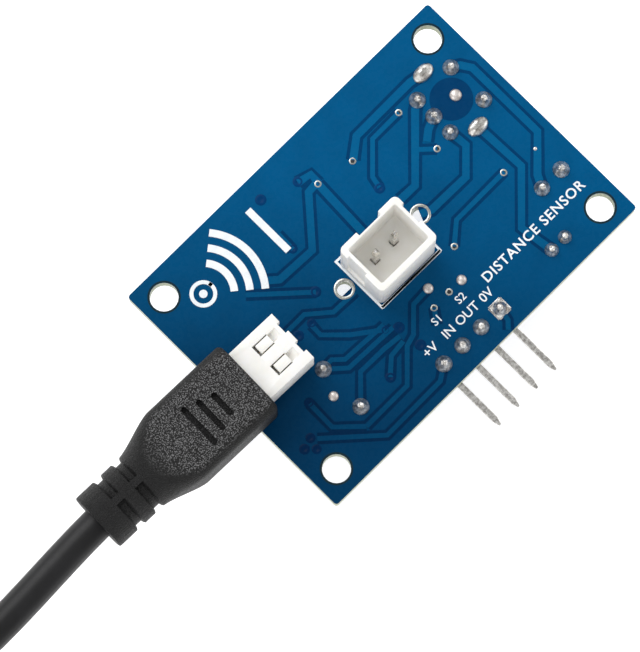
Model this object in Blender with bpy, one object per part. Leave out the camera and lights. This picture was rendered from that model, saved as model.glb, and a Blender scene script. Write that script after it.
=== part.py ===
"""Ultrasonic distance sensor module: a small circuit board, its waterproof probe and the probe's lead.

Metres, +Z up. The origin is the centre of the board's underside. The board lies level with its solder
side up, +X along its long side. The lead rests unplugged on the board, and the rest of it lies as a tied
hank on the surface that the module's 12 mm spacers stand on.
"""

import math

import bmesh
import bpy
from mathutils import Matrix, Vector

# Circuit board
BOARD_LENGTH = 0.041
BOARD_WIDTH = 0.0285
BOARD_THICK = 0.0016
CORNER_HOLE_RADIUS = 0.0014
CORNER_HOLE_X = 0.018
CORNER_HOLE_Y = 0.01175
LAND_RADIUS = 0.0021  # raised copper land round each corner hole, on the underside
LAND_THICK = 0.00005
PAD_HOLE_RADIUS = 0.00075
LEAD_HOLE_RADIUS = 0.00055
DIRECT_PADS = [(-0.00514, 0.00005), (0.00521, 0.00005)]  # for a transducer soldered straight to the board

# Probe header, two square pins 2.5 mm apart in a white box
HEADER_AT = (0.00003, -0.00065)
HEADER_LENGTH = 0.0076
HEADER_WIDTH = 0.00585
HEADER_HEIGHT = 0.007
HEADER_WALL = 0.00065
HEADER_PIN_SHIFT = 0.00045  # the pins stand nearer the wall on the +Y side
HEADER_PIN_TOP = 0.0061  # above the board
HEADER_FLOOR = 0.0014
HEADER_PITCH = 0.0025
PIN_SIDE = 0.00064
PIN_GAP = 0.0001

# Signal header, four right-angle pins 2.54 mm apart
SIGNAL_X = 0.00027
SIGNAL_Y = -0.01186
SIGNAL_PITCH = 0.00254
SIGNAL_DROP = 0.0013  # from the underside to the middle of the level pins
SIGNAL_TIP_Y = -0.01965
SIGNAL_BLOCK_DEPTH = 0.0016

# Pulse transformer in a 7.8 mm square can
COIL_AT = (0.01528, 0.00594)
CAN_SIDE = 0.0078
CAN_HEIGHT = 0.0105
CAN_WALL = 0.0003
COIL_PINS = [(-0.0023, 0.00225), (-0.0023, 0.0), (-0.0023, -0.00225), (0.0023, 0.00225), (0.0023, -0.00225)]
LUG_Y = (CAN_SIDE - CAN_WALL) / 2

# Radial capacitors: position, can radius, can height, lead spacing
BIG_CAP = ((0.01666, -0.00646), 0.00315, 0.0108, 0.00262)
SMALL_CAP = ((0.0126, -0.01137), 0.002, 0.0068, 0.0018)
CAP_LEAD_RADIUS = 0.0003

# Crystal
CRYSTAL_AT = (-0.01211, -0.0066)
CRYSTAL_LENGTH = 0.0112
CRYSTAL_WIDTH = 0.0047
CRYSTAL_HEIGHT = 0.0035
CRYSTAL_SPACING = 0.0051

# Lead: its frame's origin is the middle of the plug's front face
LEAD_AT = (-0.0125, -0.00037)
LEAD_TURN = math.radians(-1.3)
LEAD_CLEAR = 0.0003
GRIP_WIDTH = 0.0083
GRIP_THICK = 0.007
GRIP_FRONT = -0.0057
GRIP_TAPER = -0.0156
GRIP_NECK = -0.0198
GRIP_END = -0.0255
NECK_RADIUS = 0.00265
RING_RADIUS = 0.0031
FIRST_BAR_X = -0.00945
BARS_Y = -0.0003
BAR_PITCH = 0.0015
BAR_HALF = 0.0003
BAR_DEPTH = 0.0004
GROOVES_X = (-0.02035, -0.0227)
GROOVE_HALF = 0.0004
BRIDGE_HALF = 0.0004  # half the width of the webs left across each groove
PLUG_WIDTH = 0.0058
PLUG_THICK = 0.0045
PLUG_LENGTH = 0.0088
CONTACT_SIDE = 0.0014

# Cable and hank
CABLE_RADIUS = 0.00165
SURFACE_Z = -0.012  # what the spacers, the hank and the probe stand on
LEAVE_X = -0.0525  # where the cable starts to bend towards the hank
LEAVE_SIDE = -0.0005  # how far it has drifted sideways by then
MERGE_ANGLE = math.radians(35)
BEND_RADIUS = 0.016
HANK_Y = -0.0027
HANK_TURN_RADIUS = 0.0170  # centreline of the outermost turn's round end
HANK_INNER_RADIUS = 0.0104
HANK_NEAR_X = -0.0826
HANK_STRAIGHT = 0.0231
HANK_LAYERS = 6
TIE_WIDTH = 0.0036
TIE_THICK = 0.0009
GAP = 0.0003
HANK_BOTTOM = SURFACE_Z + TIE_THICK + GAP

# Probe, lying on its side with its face towards -X
PROBE_FACE_X = -0.1742
PROBE_FLANGE_RADIUS = 0.011
PROBE_FLANGE_THICK = 0.0025
PROBE_BODY_RADIUS = 0.009
PROBE_LENGTH = 0.018
PROBE_WALL = 0.0012
RELIEF_LENGTH = 0.008
CUP_RADIUS = 0.007
CUP_DEPTH = 0.009
CLIP_WIDTH = 0.005
CLIP_THICK = 0.0005

BOARD_TOP = BOARD_THICK
LEAD_Z = BOARD_TOP + LEAD_CLEAR + GRIP_THICK / 2
PROBE_Z = SURFACE_Z + PROBE_FLANGE_RADIUS
PROBE_Y = HANK_Y
SEGMENTS = 32


def clear_scene():
    """Remove whatever the scene starts with."""
    for old in list(bpy.data.objects):
        bpy.data.objects.remove(old, do_unlink=True)


def material(name, colour, rough, metal=0.0):
    """A plain Principled material."""
    made = bpy.data.materials.new(name)
    made.use_nodes = True
    shader = made.node_tree.nodes["Principled BSDF"]
    shader.inputs["Base Color"].default_value = (*colour, 1.0)
    shader.inputs["Roughness"].default_value = rough
    shader.inputs["Metallic"].default_value = metal
    return made


def finish(name, bm, mat=None, at=(0, 0, 0), parent=None, round_piece=False):
    """Turn a bmesh into a named object at its place."""
    bmesh.ops.recalc_face_normals(bm, faces=bm.faces)
    mesh = bpy.data.meshes.new(name)
    bm.to_mesh(mesh)
    bm.free()
    made = bpy.data.objects.new(name, mesh)
    bpy.context.collection.objects.link(made)
    made.location = at
    made.parent = parent
    if mat:
        mesh.materials.append(mat)
    if round_piece:
        mesh.shade_smooth()
        mesh.set_sharp_from_angle(angle=math.radians(35))
    return made


def add_box(bm, low, high):
    """A closed box between two corners."""
    size = Vector(high) - Vector(low)
    middle = (Vector(high) + Vector(low)) / 2
    place = Matrix.Translation(middle) @ Matrix.Diagonal((*size, 1.0))
    return bmesh.ops.create_cube(bm, size=1.0, matrix=place)["verts"]


def add_lathe(bm, profile, axis="Z", at=(0, 0, 0), segments=SEGMENTS):
    """A closed solid turned about an axis through a point. The profile is (radius, height) pairs."""
    turn = {
        "Z": Matrix.Identity(4),
        "X": Matrix.Rotation(math.pi / 2, 4, "Y"),
    }[axis]
    place = Matrix.Translation(at) @ turn
    rings = []
    for radius, height in profile:
        if radius == 0.0:
            rings.append([bm.verts.new(place @ Vector((0, 0, height)))])
            continue
        angles = [2 * math.pi * k / segments for k in range(segments)]
        points = [Vector((radius * math.cos(a), radius * math.sin(a), height)) for a in angles]
        rings.append([bm.verts.new(place @ p) for p in points])
    closed_loop = profile[0][0] > 0.0
    pairs = list(zip(rings, rings[1:]))
    if closed_loop:
        pairs.append((rings[-1], rings[0]))
    for first, second in pairs:
        for k in range(segments):
            j = (k + 1) % segments
            low_side = [first[k % len(first)], first[j % len(first)]]
            high_side = [second[j % len(second)], second[k % len(second)]]
            bm.faces.new(list(dict.fromkeys(low_side + high_side)))


def add_rod(bm, radius, low, high, at=(0, 0), segments=12):
    """An upright rod between two heights."""
    add_lathe(bm, [(0.0, low), (radius, low), (radius, high), (0.0, high)], "Z", (*at, 0), segments)


def add_outline(bm, outline, low, high):
    """A closed outline raised between two heights."""
    base = [bm.verts.new((x, y, low)) for x, y in outline]
    face = bm.faces.new(base)
    raised = bmesh.ops.extrude_face_region(bm, geom=[face])["geom"]
    tops = [v for v in raised if isinstance(v, bmesh.types.BMVert)]
    bmesh.ops.translate(bm, verts=tops, vec=(0, 0, high - low))


def rounded(length, width, radius, steps=5):
    """The outline of a rectangle with round corners, centred on the origin."""
    points = []
    corners = [(1, 1, 0), (-1, 1, 90), (-1, -1, 180), (1, -1, 270)]
    for sx, sy, start in corners:
        cx = sx * (length / 2 - radius)
        cy = sy * (width / 2 - radius)
        for k in range(steps + 1):
            a = math.radians(start + 90 * k / steps)
            points.append((cx + radius * math.cos(a), cy + radius * math.sin(a)))
    return points


def combine(target, bm, operation, name):
    """Cut a shape from a solid, or join it on."""
    tool = finish(name, bm, at=target.location, parent=target.parent)
    tool.hide_render = True
    tool.display_type = "WIRE"
    step = target.modifiers.new(operation.lower(), "BOOLEAN")
    step.operation = operation
    step.object = tool
    step.solver = "EXACT"
    step.use_self = True


def lead_places():
    """Every place where a wire or pin goes through the board."""
    places = [(HEADER_AT[0] + s * HEADER_PITCH / 2, HEADER_AT[1] + HEADER_PIN_SHIFT) for s in (-1, 1)]
    places += [(SIGNAL_X + (k - 1.5) * SIGNAL_PITCH, SIGNAL_Y) for k in range(4)]
    places += [(COIL_AT[0] + x, COIL_AT[1] + y) for x, y in COIL_PINS]
    for (x, y), _, _, spacing in (BIG_CAP, SMALL_CAP):
        places += [(x + s * spacing / 2, y) for s in (-1, 1)]
    places += [(CRYSTAL_AT[0], CRYSTAL_AT[1] + s * CRYSTAL_SPACING / 2) for s in (-1, 1)]
    return places


def circuit_board(mat):
    """The board with its corner holes, its two empty pads and a hole for each wire."""
    bm = bmesh.new()
    add_outline(bm, rounded(BOARD_LENGTH, BOARD_WIDTH, 0.0003, 2), 0.0, BOARD_THICK)
    board = finish("circuit_board", bm, mat)
    corners = [(sx * CORNER_HOLE_X, sy * CORNER_HOLE_Y) for sx in (-1, 1) for sy in (-1, 1)]
    bm = bmesh.new()
    for place in corners:
        add_rod(bm, LAND_RADIUS, -LAND_THICK, BOARD_THICK / 2, place, 24)
    combine(board, bm, "UNION", "board_lands")
    bm = bmesh.new()
    past = 0.001
    for place in corners:
        add_rod(bm, CORNER_HOLE_RADIUS, -past, BOARD_THICK + past, place, 24)
    for place in DIRECT_PADS:
        add_rod(bm, PAD_HOLE_RADIUS, -past, BOARD_THICK + past, place, 16)
    for place in lead_places():
        add_rod(bm, LEAD_HOLE_RADIUS, -past, BOARD_THICK + past, place, 12)
    for sy in (-1, 1):
        slot_y = COIL_AT[1] + sy * LUG_Y
        low = (COIL_AT[0] - 0.0008, slot_y - 0.0004, -past)
        add_box(bm, low, (COIL_AT[0] + 0.0008, slot_y + 0.0004, BOARD_THICK + past))
    combine(board, bm, "DIFFERENCE", "board_holes")


def probe_header(shell_mat, pin_mat):
    """The white box that the plug goes into, open at the top, and its two pins."""
    at = (*HEADER_AT, BOARD_TOP + PIN_GAP)
    half_x = HEADER_LENGTH / 2
    half_y = HEADER_WIDTH / 2
    bm = bmesh.new()
    add_outline(bm, rounded(HEADER_LENGTH, HEADER_WIDTH, 0.0003, 2), 0.0, HEADER_HEIGHT)
    shell = finish("header_shell", bm, shell_mat, at)
    bm = bmesh.new()
    inner_x = half_x - HEADER_WALL
    inner_y = half_y - HEADER_WALL
    rim = HEADER_HEIGHT + 0.001
    add_box(bm, (-inner_x, -inner_y, HEADER_FLOOR), (inner_x, inner_y, rim))
    # The long wall on the +Y side is thinner between its ends.
    add_box(bm, (-0.0014, inner_y + 0.00025, HEADER_FLOOR), (0.0015, half_y + 0.001, rim))
    # Each short wall has a shallow notch outside.
    for sx in (-1, 1):
        outside = sx * half_x
        add_box(bm, (outside - 0.0003, -0.0006, 0.0012), (outside + 0.0003, 0.00175, rim))
    hole = PIN_SIDE / 2 + PIN_GAP
    for sx in (-1, 1):
        x = sx * HEADER_PITCH / 2
        add_box(
            bm,
            (x - hole, HEADER_PIN_SHIFT - hole, -0.001),
            (x + hole, HEADER_PIN_SHIFT + hole, HEADER_FLOOR + 0.0005),
        )
    combine(shell, bm, "DIFFERENCE", "header_cuts")
    for number, sx in enumerate((-1, 1), start=1):
        bm = bmesh.new()
        half = PIN_SIDE / 2
        add_box(bm, (-half, -half, -0.0032), (half, half, HEADER_PIN_TOP))
        place = (HEADER_AT[0] + sx * HEADER_PITCH / 2, HEADER_AT[1] + HEADER_PIN_SHIFT, BOARD_TOP)
        pin = finish(f"header_pin_{number}", bm, pin_mat, place)
        soften(pin, 0.00012)


def soften(target, width):
    """A one-step bevel."""
    bevel = target.modifiers.new("bevel", "BEVEL")
    bevel.width = width
    bevel.segments = 1
    bevel.limit_method = "ANGLE"


def signal_header(block_mat, pin_mat):
    """Four bent pins held by one plastic block under the board's edge."""
    half = PIN_SIDE / 2
    block_near = SIGNAL_Y - half - PIN_GAP
    bm = bmesh.new()
    reach = 1.5 * SIGNAL_PITCH + 0.00122
    add_box(bm, (-reach, -SIGNAL_BLOCK_DEPTH, -0.00254), (reach, 0.0, -0.0001))
    block = finish("signal_block", bm, block_mat, (SIGNAL_X, block_near, 0.0))
    bm = bmesh.new()
    hole = half + PIN_GAP
    for k in range(4):
        x = (k - 1.5) * SIGNAL_PITCH
        add_box(
            bm,
            (x - hole, -SIGNAL_BLOCK_DEPTH - 0.001, -SIGNAL_DROP - hole),
            (x + hole, 0.001, -SIGNAL_DROP + hole),
        )
    combine(block, bm, "DIFFERENCE", "signal_block_holes")
    for k in range(4):
        bm = bmesh.new()
        out = SIGNAL_TIP_Y - SIGNAL_Y
        side = [
            (half, BOARD_TOP + 0.0009),
            (-half, BOARD_TOP + 0.0009),
            (-half, -SIGNAL_DROP + half),
            (out, -SIGNAL_DROP + half),
            (out, -SIGNAL_DROP - half),
            (half - 0.0003, -SIGNAL_DROP - half),
            (half, -SIGNAL_DROP - half + 0.0003),
        ]
        near = [bm.verts.new((-half, y, z)) for y, z in side]
        face = bm.faces.new(near)
        moved = bmesh.ops.extrude_face_region(bm, geom=[face])["geom"]
        far = [v for v in moved if isinstance(v, bmesh.types.BMVert)]
        bmesh.ops.translate(bm, verts=far, vec=(PIN_SIDE, 0, 0))
        finish(f"signal_pin_{k + 1}", bm, pin_mat, (SIGNAL_X + (k - 1.5) * SIGNAL_PITCH, SIGNAL_Y, 0.0))


def transformer(can_mat, base_mat, wire_mat, core_mat, pin_mat):
    """The pulse transformer: a can open towards the board, base, winding, slotted core and five pins."""
    half = CAN_SIDE / 2
    lift = -0.0003
    bm = bmesh.new()
    add_outline(bm, rounded(CAN_SIDE, CAN_SIDE, 0.0007, 3), -CAN_HEIGHT, 0.0)
    can = finish("coil_can", bm, can_mat, (*COIL_AT, lift))
    bm = bmesh.new()
    inner = CAN_SIDE - 2 * CAN_WALL
    add_outline(bm, rounded(inner, inner, 0.0005, 3), -CAN_HEIGHT + CAN_WALL, 0.001)
    add_rod(bm, 0.002, -CAN_HEIGHT - 0.001, 0.0, segments=20)
    combine(can, bm, "DIFFERENCE", "coil_can_hollow")
    bm = bmesh.new()
    for sy in (-1, 1):
        middle = sy * LUG_Y
        add_box(bm, (-0.0005, middle - 0.00015, -0.001), (0.0005, middle + 0.00015, BOARD_THICK + 0.0008))
    combine(can, bm, "UNION", "coil_can_lugs")
    inside = half - CAN_WALL - 0.00015
    bm = bmesh.new()
    add_box(bm, (-inside, -inside, -0.0016), (inside, inside, -0.0001))
    base = finish("coil_base", bm, base_mat, (*COIL_AT, lift))
    bm = bmesh.new()
    for x, y in COIL_PINS:
        add_rod(bm, 0.00035, -0.003, 0.001, (x, y))
    combine(base, bm, "DIFFERENCE", "coil_base_holes")
    bm = bmesh.new()
    add_lathe(bm, [(0.0018, -0.0019), (0.003, -0.0019), (0.003, -0.0098), (0.0018, -0.0098)], segments=24)
    finish("coil_winding", bm, wire_mat, (*COIL_AT, lift), round_piece=True)
    bm = bmesh.new()
    rod = [(0.0, -0.0102), (0.0014, -0.0102), (0.0015, -0.0101), (0.0015, -0.0025), (0.0, -0.0025)]
    add_lathe(bm, rod, segments=20)
    core = finish("coil_core", bm, core_mat, (*COIL_AT, lift), round_piece=True)
    bm = bmesh.new()
    add_box(bm, (-0.002, -0.0003, -0.012), (0.002, 0.0003, -0.0093))
    combine(core, bm, "DIFFERENCE", "coil_core_slot")
    for number, (x, y) in enumerate(COIL_PINS, start=1):
        bm = bmesh.new()
        add_rod(bm, 0.00025, -0.0018, BOARD_THICK + 0.0007, segments=8)
        finish(f"coil_pin_{number}", bm, pin_mat, (COIL_AT[0] + x, COIL_AT[1] + y, 0.0), round_piece=True)


def capacitor(name, size, can_mat, bung_mat, lead_mat):
    """A radial capacitor: aluminium can, rubber bung and two leads through the board."""
    (x, y), radius, height, spacing = size
    gap = 0.0003
    bung = 0.0016
    wall = 0.0003
    bm = bmesh.new()
    add_cup(bm, radius, height, wall, bung)
    finish(f"{name}_can", bm, can_mat, (x, y, -gap), round_piece=True)
    bm = bmesh.new()
    side = radius - wall - 0.00015
    add_lathe(bm, [(0.0, -bung), (side, -bung), (side, 0.0), (0.0, 0.0)], segments=24)
    plug = finish(f"{name}_bung", bm, bung_mat, (x, y, -gap), round_piece=True)
    bm = bmesh.new()
    for s in (-1, 1):
        add_rod(bm, CAP_LEAD_RADIUS + 0.0001, -bung - 0.001, 0.001, (s * spacing / 2, 0))
    combine(plug, bm, "DIFFERENCE", f"{name}_bung_holes")
    for number, s in enumerate((-1, 1), start=1):
        bm = bmesh.new()
        add_rod(bm, CAP_LEAD_RADIUS, -bung - 0.0008, BOARD_THICK + 0.0009, segments=10)
        finish(f"{name}_lead_{number}", bm, lead_mat, (x + s * spacing / 2, y, 0.0), round_piece=True)


def add_cup(bm, radius, height, wall, groove):
    """A thin can, closed below and open above, with a rolled groove near its mouth."""
    profile = [
        (0.0, -height),
        (radius - 0.0003, -height),
        (radius, -height + 0.0003),
        (radius, -groove - 0.0004),
        (radius - 0.0002, -groove),
        (radius, -groove + 0.0004),
        (radius, 0.0),
        (radius - wall, 0.0),
        (radius - wall, -groove + 0.0002 - 0.0006),
        (radius - wall, -height + 0.0008),
        (0.0, -height + 0.0008),
    ]
    add_lathe(bm, profile)


def crystal(can_mat, lead_mat):
    """A low crystal can lying along Y, and its two leads."""
    bm = bmesh.new()
    outline = rounded(CRYSTAL_WIDTH, CRYSTAL_LENGTH, CRYSTAL_WIDTH / 2 - 0.0001, 8)
    add_outline(bm, outline, -CRYSTAL_HEIGHT, 0.0)
    finish("crystal_can", bm, can_mat, (*CRYSTAL_AT, -0.0003))
    for number, s in enumerate((-1, 1), start=1):
        bm = bmesh.new()
        add_rod(bm, 0.00022, -0.0002, BOARD_THICK + 0.0008, segments=8)
        place = (CRYSTAL_AT[0], CRYSTAL_AT[1] + s * CRYSTAL_SPACING / 2, 0.0)
        finish(f"crystal_lead_{number}", bm, lead_mat, place, round_piece=True)


def chip(name, at, length, width, height, legs, reach, mat):
    """A moulded chip under the board with gull-wing legs along its two long sides."""
    bm = bmesh.new()
    add_box(bm, (-length / 2, -width / 2, -height - 0.0002), (length / 2, width / 2, -0.0002))
    made = finish(name, bm, mat, (*at, 0.0))
    bm = bmesh.new()
    pitch = length / legs
    for k in range(legs):
        x = (k - (legs - 1) / 2) * pitch
        for s in (-1, 1):
            inner = s * (width / 2 - 0.0002)
            outer = s * (width / 2 + reach)
            low, high = sorted((inner, outer))
            add_box(bm, (x - 0.0002, low, -height * 0.6), (x + 0.0002, high, -height * 0.6 + 0.00025))
    combine(made, bm, "UNION", f"{name}_legs")


def chips(mat):
    """The surface parts on the component side."""
    chip("controller_chip", (0.0005, 0.0085), 0.0099, 0.0039, 0.0015, 8, 0.001, mat)
    chip("amplifier_chip", (-0.0065, -0.0068), 0.0043, 0.0039, 0.0015, 4, 0.001, mat)
    chip("driver_chip", (-0.0125, 0.0075), 0.0087, 0.0039, 0.0015, 7, 0.001, mat)
    chip("transistor_1", (0.0093, 0.0015), 0.0029, 0.0013, 0.001, 2, 0.0006, mat)
    chip("transistor_2", (0.0093, -0.0035), 0.0029, 0.0013, 0.001, 2, 0.0006, mat)


def plug(frame, housing_mat, contact_mat):
    """The two-way crimp housing with a contact in each channel. Local -X runs back into the grip."""
    half_y = PLUG_WIDTH / 2
    half_z = PLUG_THICK / 2
    bm = bmesh.new()
    add_box(bm, (-PLUG_LENGTH, -half_y, -half_z), (0.0, half_y, half_z))
    housing = finish("plug_housing", bm, housing_mat, parent=frame)
    bm = bmesh.new()
    channel = 0.00085
    for s in (-1, 1):
        y = s * HEADER_PITCH / 2
        add_box(bm, (-PLUG_LENGTH - 0.001, y - channel, -channel), (0.001, y + channel, channel))
        # The window that shows the contact's spring lance.
        add_box(bm, (-0.0034, y - 0.0005, 0.0), (-0.0017, y + 0.0005, half_z + 0.001))
        # The shallow step in the front edge beside the middle land.
        add_box(bm, (-0.0003, y - 0.0006, channel), (0.001, y + 0.0006, half_z + 0.001))
    combine(housing, bm, "DIFFERENCE", "plug_channels")
    for number, s in enumerate((-1, 1), start=1):
        bm = bmesh.new()
        half = CONTACT_SIDE / 2
        add_box(bm, (-PLUG_LENGTH + 0.0004, -half, -half), (-0.0008, half, half))
        contact = finish(f"plug_contact_{number}", bm, contact_mat, (0, s * HEADER_PITCH / 2, 0), frame)
        bm = bmesh.new()
        bore = half - 0.0003
        add_box(bm, (-PLUG_LENGTH + 0.0012, -bore, -bore), (0.001, bore, bore))
        combine(contact, bm, "DIFFERENCE", f"plug_contact_hollow_{number}")


def grip_section(x, half_y, half_z, corner, steps=4):
    """One rounded section across the grip."""
    return [Vector((x, y, z)) for y, z in rounded(2 * half_y, 2 * half_z, corner, steps)]


def add_neck_groove(bm, middle, side):
    """One side of a groove round the neck, stopping short of the webs above and below."""
    first = BRIDGE_HALF / RING_RADIUS
    outside = RING_RADIUS + 0.001
    corners = [
        (-GROOVE_HALF, NECK_RADIUS),
        (-GROOVE_HALF, outside),
        (GROOVE_HALF, outside),
        (GROOVE_HALF, NECK_RADIUS),
    ]
    loops = []
    for k in range(13):
        a = first + (math.pi - 2 * first) * k / 12
        loops.append([bm.verts.new((middle + x, side * r * math.sin(a), r * math.cos(a))) for x, r in corners])
    for here, there in zip(loops, loops[1:]):
        for k in range(4):
            j = (k + 1) % 4
            bm.faces.new([here[k], here[j], there[j], there[k]])
    bm.faces.new(loops[0])
    bm.faces.new(loops[-1])


def grip(frame, mat):
    """The moulded grip: a flat body that tapers to a round neck with two bridged grooves."""
    half_y = GRIP_WIDTH / 2
    half_z = GRIP_THICK / 2
    ring = RING_RADIUS
    sections = [
        (GRIP_FRONT, half_y - 0.0005, half_z - 0.0005, 0.0008),
        (GRIP_FRONT - 0.0005, half_y, half_z, 0.0012),
        (GRIP_TAPER, half_y, half_z, 0.0012),
        (GRIP_TAPER - 0.0018, half_y * 0.92, half_z * 0.94, 0.0015),
        (GRIP_NECK, ring, ring, ring * 0.98),
        (GRIP_END, ring, ring, ring * 0.98),
    ]
    bm = bmesh.new()
    loops = [[bm.verts.new(p) for p in grip_section(*s)] for s in sections]
    for first, second in zip(loops, loops[1:]):
        count = len(first)
        for k in range(count):
            j = (k + 1) % count
            bm.faces.new([first[k], first[j], second[j], second[k]])
    bm.faces.new(loops[0])
    bm.faces.new(loops[-1])
    body = finish("plug_grip", bm, mat, parent=frame, round_piece=True)
    bm = bmesh.new()
    pocket_y = PLUG_WIDTH / 2 + GAP
    pocket_z = PLUG_THICK / 2 + GAP
    add_box(bm, (-PLUG_LENGTH - GAP, -pocket_y, -pocket_z), (GRIP_FRONT + 0.001, pocket_y, pocket_z))
    # Three finger bars, shortest nearest the plug.
    for number, length in enumerate((0.0028, 0.0038, 0.0047)):
        x = FIRST_BAR_X - number * BAR_PITCH
        low = (x - BAR_HALF, BARS_Y - length / 2, half_z - BAR_DEPTH)
        add_box(bm, low, (x + BAR_HALF, BARS_Y + length / 2, half_z + 0.001))
    for middle in GROOVES_X:
        add_neck_groove(bm, middle, 1)
        add_neck_groove(bm, middle, -1)
    combine(body, bm, "DIFFERENCE", "grip_cuts")


def cable_tube(name, points, mat):
    """A round cable along a run of points."""
    curve = bpy.data.curves.new(name, "CURVE")
    curve.dimensions = "3D"
    curve.bevel_depth = CABLE_RADIUS
    curve.bevel_resolution = 2
    curve.use_fill_caps = True
    spline = curve.splines.new("POLY")
    spline.points.add(len(points) - 1)
    for place, point in zip(spline.points, points):
        place.co = (*point, 1.0)
    curve.materials.append(mat)
    made = bpy.data.objects.new(name, curve)
    bpy.context.collection.objects.link(made)


def ease(share):
    """Smooth rise from 0 to 1."""
    share = min(max(share, 0.0), 1.0)
    return share * share * (3 - 2 * share)


def lead_out_points():
    """From the grip, straight on and then round towards the hank's outer turn."""
    turn = Matrix.Rotation(LEAD_TURN, 3, "Z")
    start = turn @ Vector((GRIP_END - GAP, 0, 0)) + Vector((*LEAD_AT, 0))
    end_y = start.y + LEAVE_SIDE
    top_layer = HANK_BOTTOM + CABLE_RADIUS * (2 * HANK_LAYERS - 1)
    steps = 6
    flat = []
    for k in range(steps + 1):
        x = start.x + (LEAVE_X - start.x) * k / steps
        flat.append(Vector((x, start.y + (end_y - start.y) * ease(k / steps), 0)))
    centre = Vector((LEAVE_X, end_y + BEND_RADIUS, 0))
    for k in (1, 2):
        a = MERGE_ANGLE * k / 2
        flat.append(centre + BEND_RADIUS * Vector((-math.sin(a), -math.cos(a), 0)))
    heading = Vector((-math.cos(MERGE_ANGLE), math.sin(MERGE_ANGLE), 0))
    # It stops where its side comes 0.3 mm from the hank's round end.
    hub = Vector((HANK_NEAR_X, HANK_Y, 0))
    clear = HANK_TURN_RADIUS + 2 * CABLE_RADIUS + GAP
    step = 0.00025
    end = flat[-1].copy()
    while (end + heading * step - hub).length > clear:
        end += heading * step
    flat.append(end)
    run = [0.0]
    for a, b in zip(flat, flat[1:]):
        run.append(run[-1] + (b - a).length)
    rise = top_layer - LEAD_Z
    straight = run[steps]
    total = run[-1] - straight + 0.012
    return [(p.x, p.y, LEAD_Z + rise * ease((r - straight) / total)) for p, r in zip(flat, run)]


def probe_end_points():
    """From the hank's lowest outer turn, round and up to the back of the probe."""
    hub = Vector((HANK_NEAR_X - HANK_STRAIGHT, HANK_Y, 0))
    tangent = hub + HANK_TURN_RADIUS * Vector((-math.sin(MERGE_ANGLE), math.cos(MERGE_ANGLE), 0))
    heading = Vector((-math.cos(MERGE_ANGLE), -math.sin(MERGE_ANGLE), 0))
    drop = tangent.y - HANK_Y - BEND_RADIUS * (1 - math.cos(MERGE_ANGLE))
    line_end = tangent + heading * (drop / math.sin(MERGE_ANGLE))
    clear = HANK_TURN_RADIUS + 2 * CABLE_RADIUS + GAP
    start = tangent + heading * math.sqrt(clear**2 - HANK_TURN_RADIUS**2)
    bend_end = line_end + Vector((-BEND_RADIUS * math.sin(MERGE_ANGLE), 0, 0))
    centre = Vector((bend_end.x, HANK_Y + BEND_RADIUS, 0))
    finish_x = PROBE_FACE_X + PROBE_LENGTH + RELIEF_LENGTH + GAP
    flat = [start, line_end]
    for k in (1, 2, 3):
        a = MERGE_ANGLE * (1 - k / 3)
        flat.append(centre + BEND_RADIUS * Vector((math.sin(a), -math.cos(a), 0)))
    for k in (1, 2):
        flat.append(Vector((bend_end.x + (finish_x - bend_end.x) * k / 2, HANK_Y, 0)))
    run = [0.0]
    for a, b in zip(flat, flat[1:]):
        run.append(run[-1] + (b - a).length)
    low = HANK_BOTTOM + CABLE_RADIUS
    climb = run[-1] - 0.004
    return [(p.x, p.y, low + (PROBE_Z - low) * ease(r / climb)) for p, r in zip(flat, run)]


def hank(cable_mat, tie_mat):
    """The spare cable as one solid of gathered turns with round ends, and the tie round its middle."""
    outer = HANK_TURN_RADIUS + CABLE_RADIUS
    inner = HANK_INNER_RADIUS - CABLE_RADIUS
    height = 2 * CABLE_RADIUS * HANK_LAYERS
    at = (HANK_NEAR_X - HANK_STRAIGHT / 2, HANK_Y, HANK_BOTTOM)
    bm = bmesh.new()
    add_outline(bm, rounded(HANK_STRAIGHT + 2 * outer, 2 * outer, outer, 12), 0.0, height)
    made = finish("cable_hank", bm, cable_mat, at)
    bm = bmesh.new()
    add_outline(bm, rounded(HANK_STRAIGHT + 2 * inner, 2 * inner, inner, 10), -0.001, height + 0.001)
    combine(made, bm, "DIFFERENCE", "hank_middle")
    bm = bmesh.new()
    inside_y = outer + GAP
    top = height + GAP
    thick = TIE_THICK
    outside_y = inside_y + thick
    add_box(bm, (-TIE_WIDTH / 2, -outside_y, -GAP - thick), (TIE_WIDTH / 2, outside_y, top + thick))
    tie = finish("cable_tie", bm, tie_mat, at)
    bm = bmesh.new()
    add_box(bm, (-TIE_WIDTH, -inside_y, -GAP), (TIE_WIDTH, inside_y, top))
    combine(tie, bm, "DIFFERENCE", "tie_hollow")
    return tie


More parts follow.
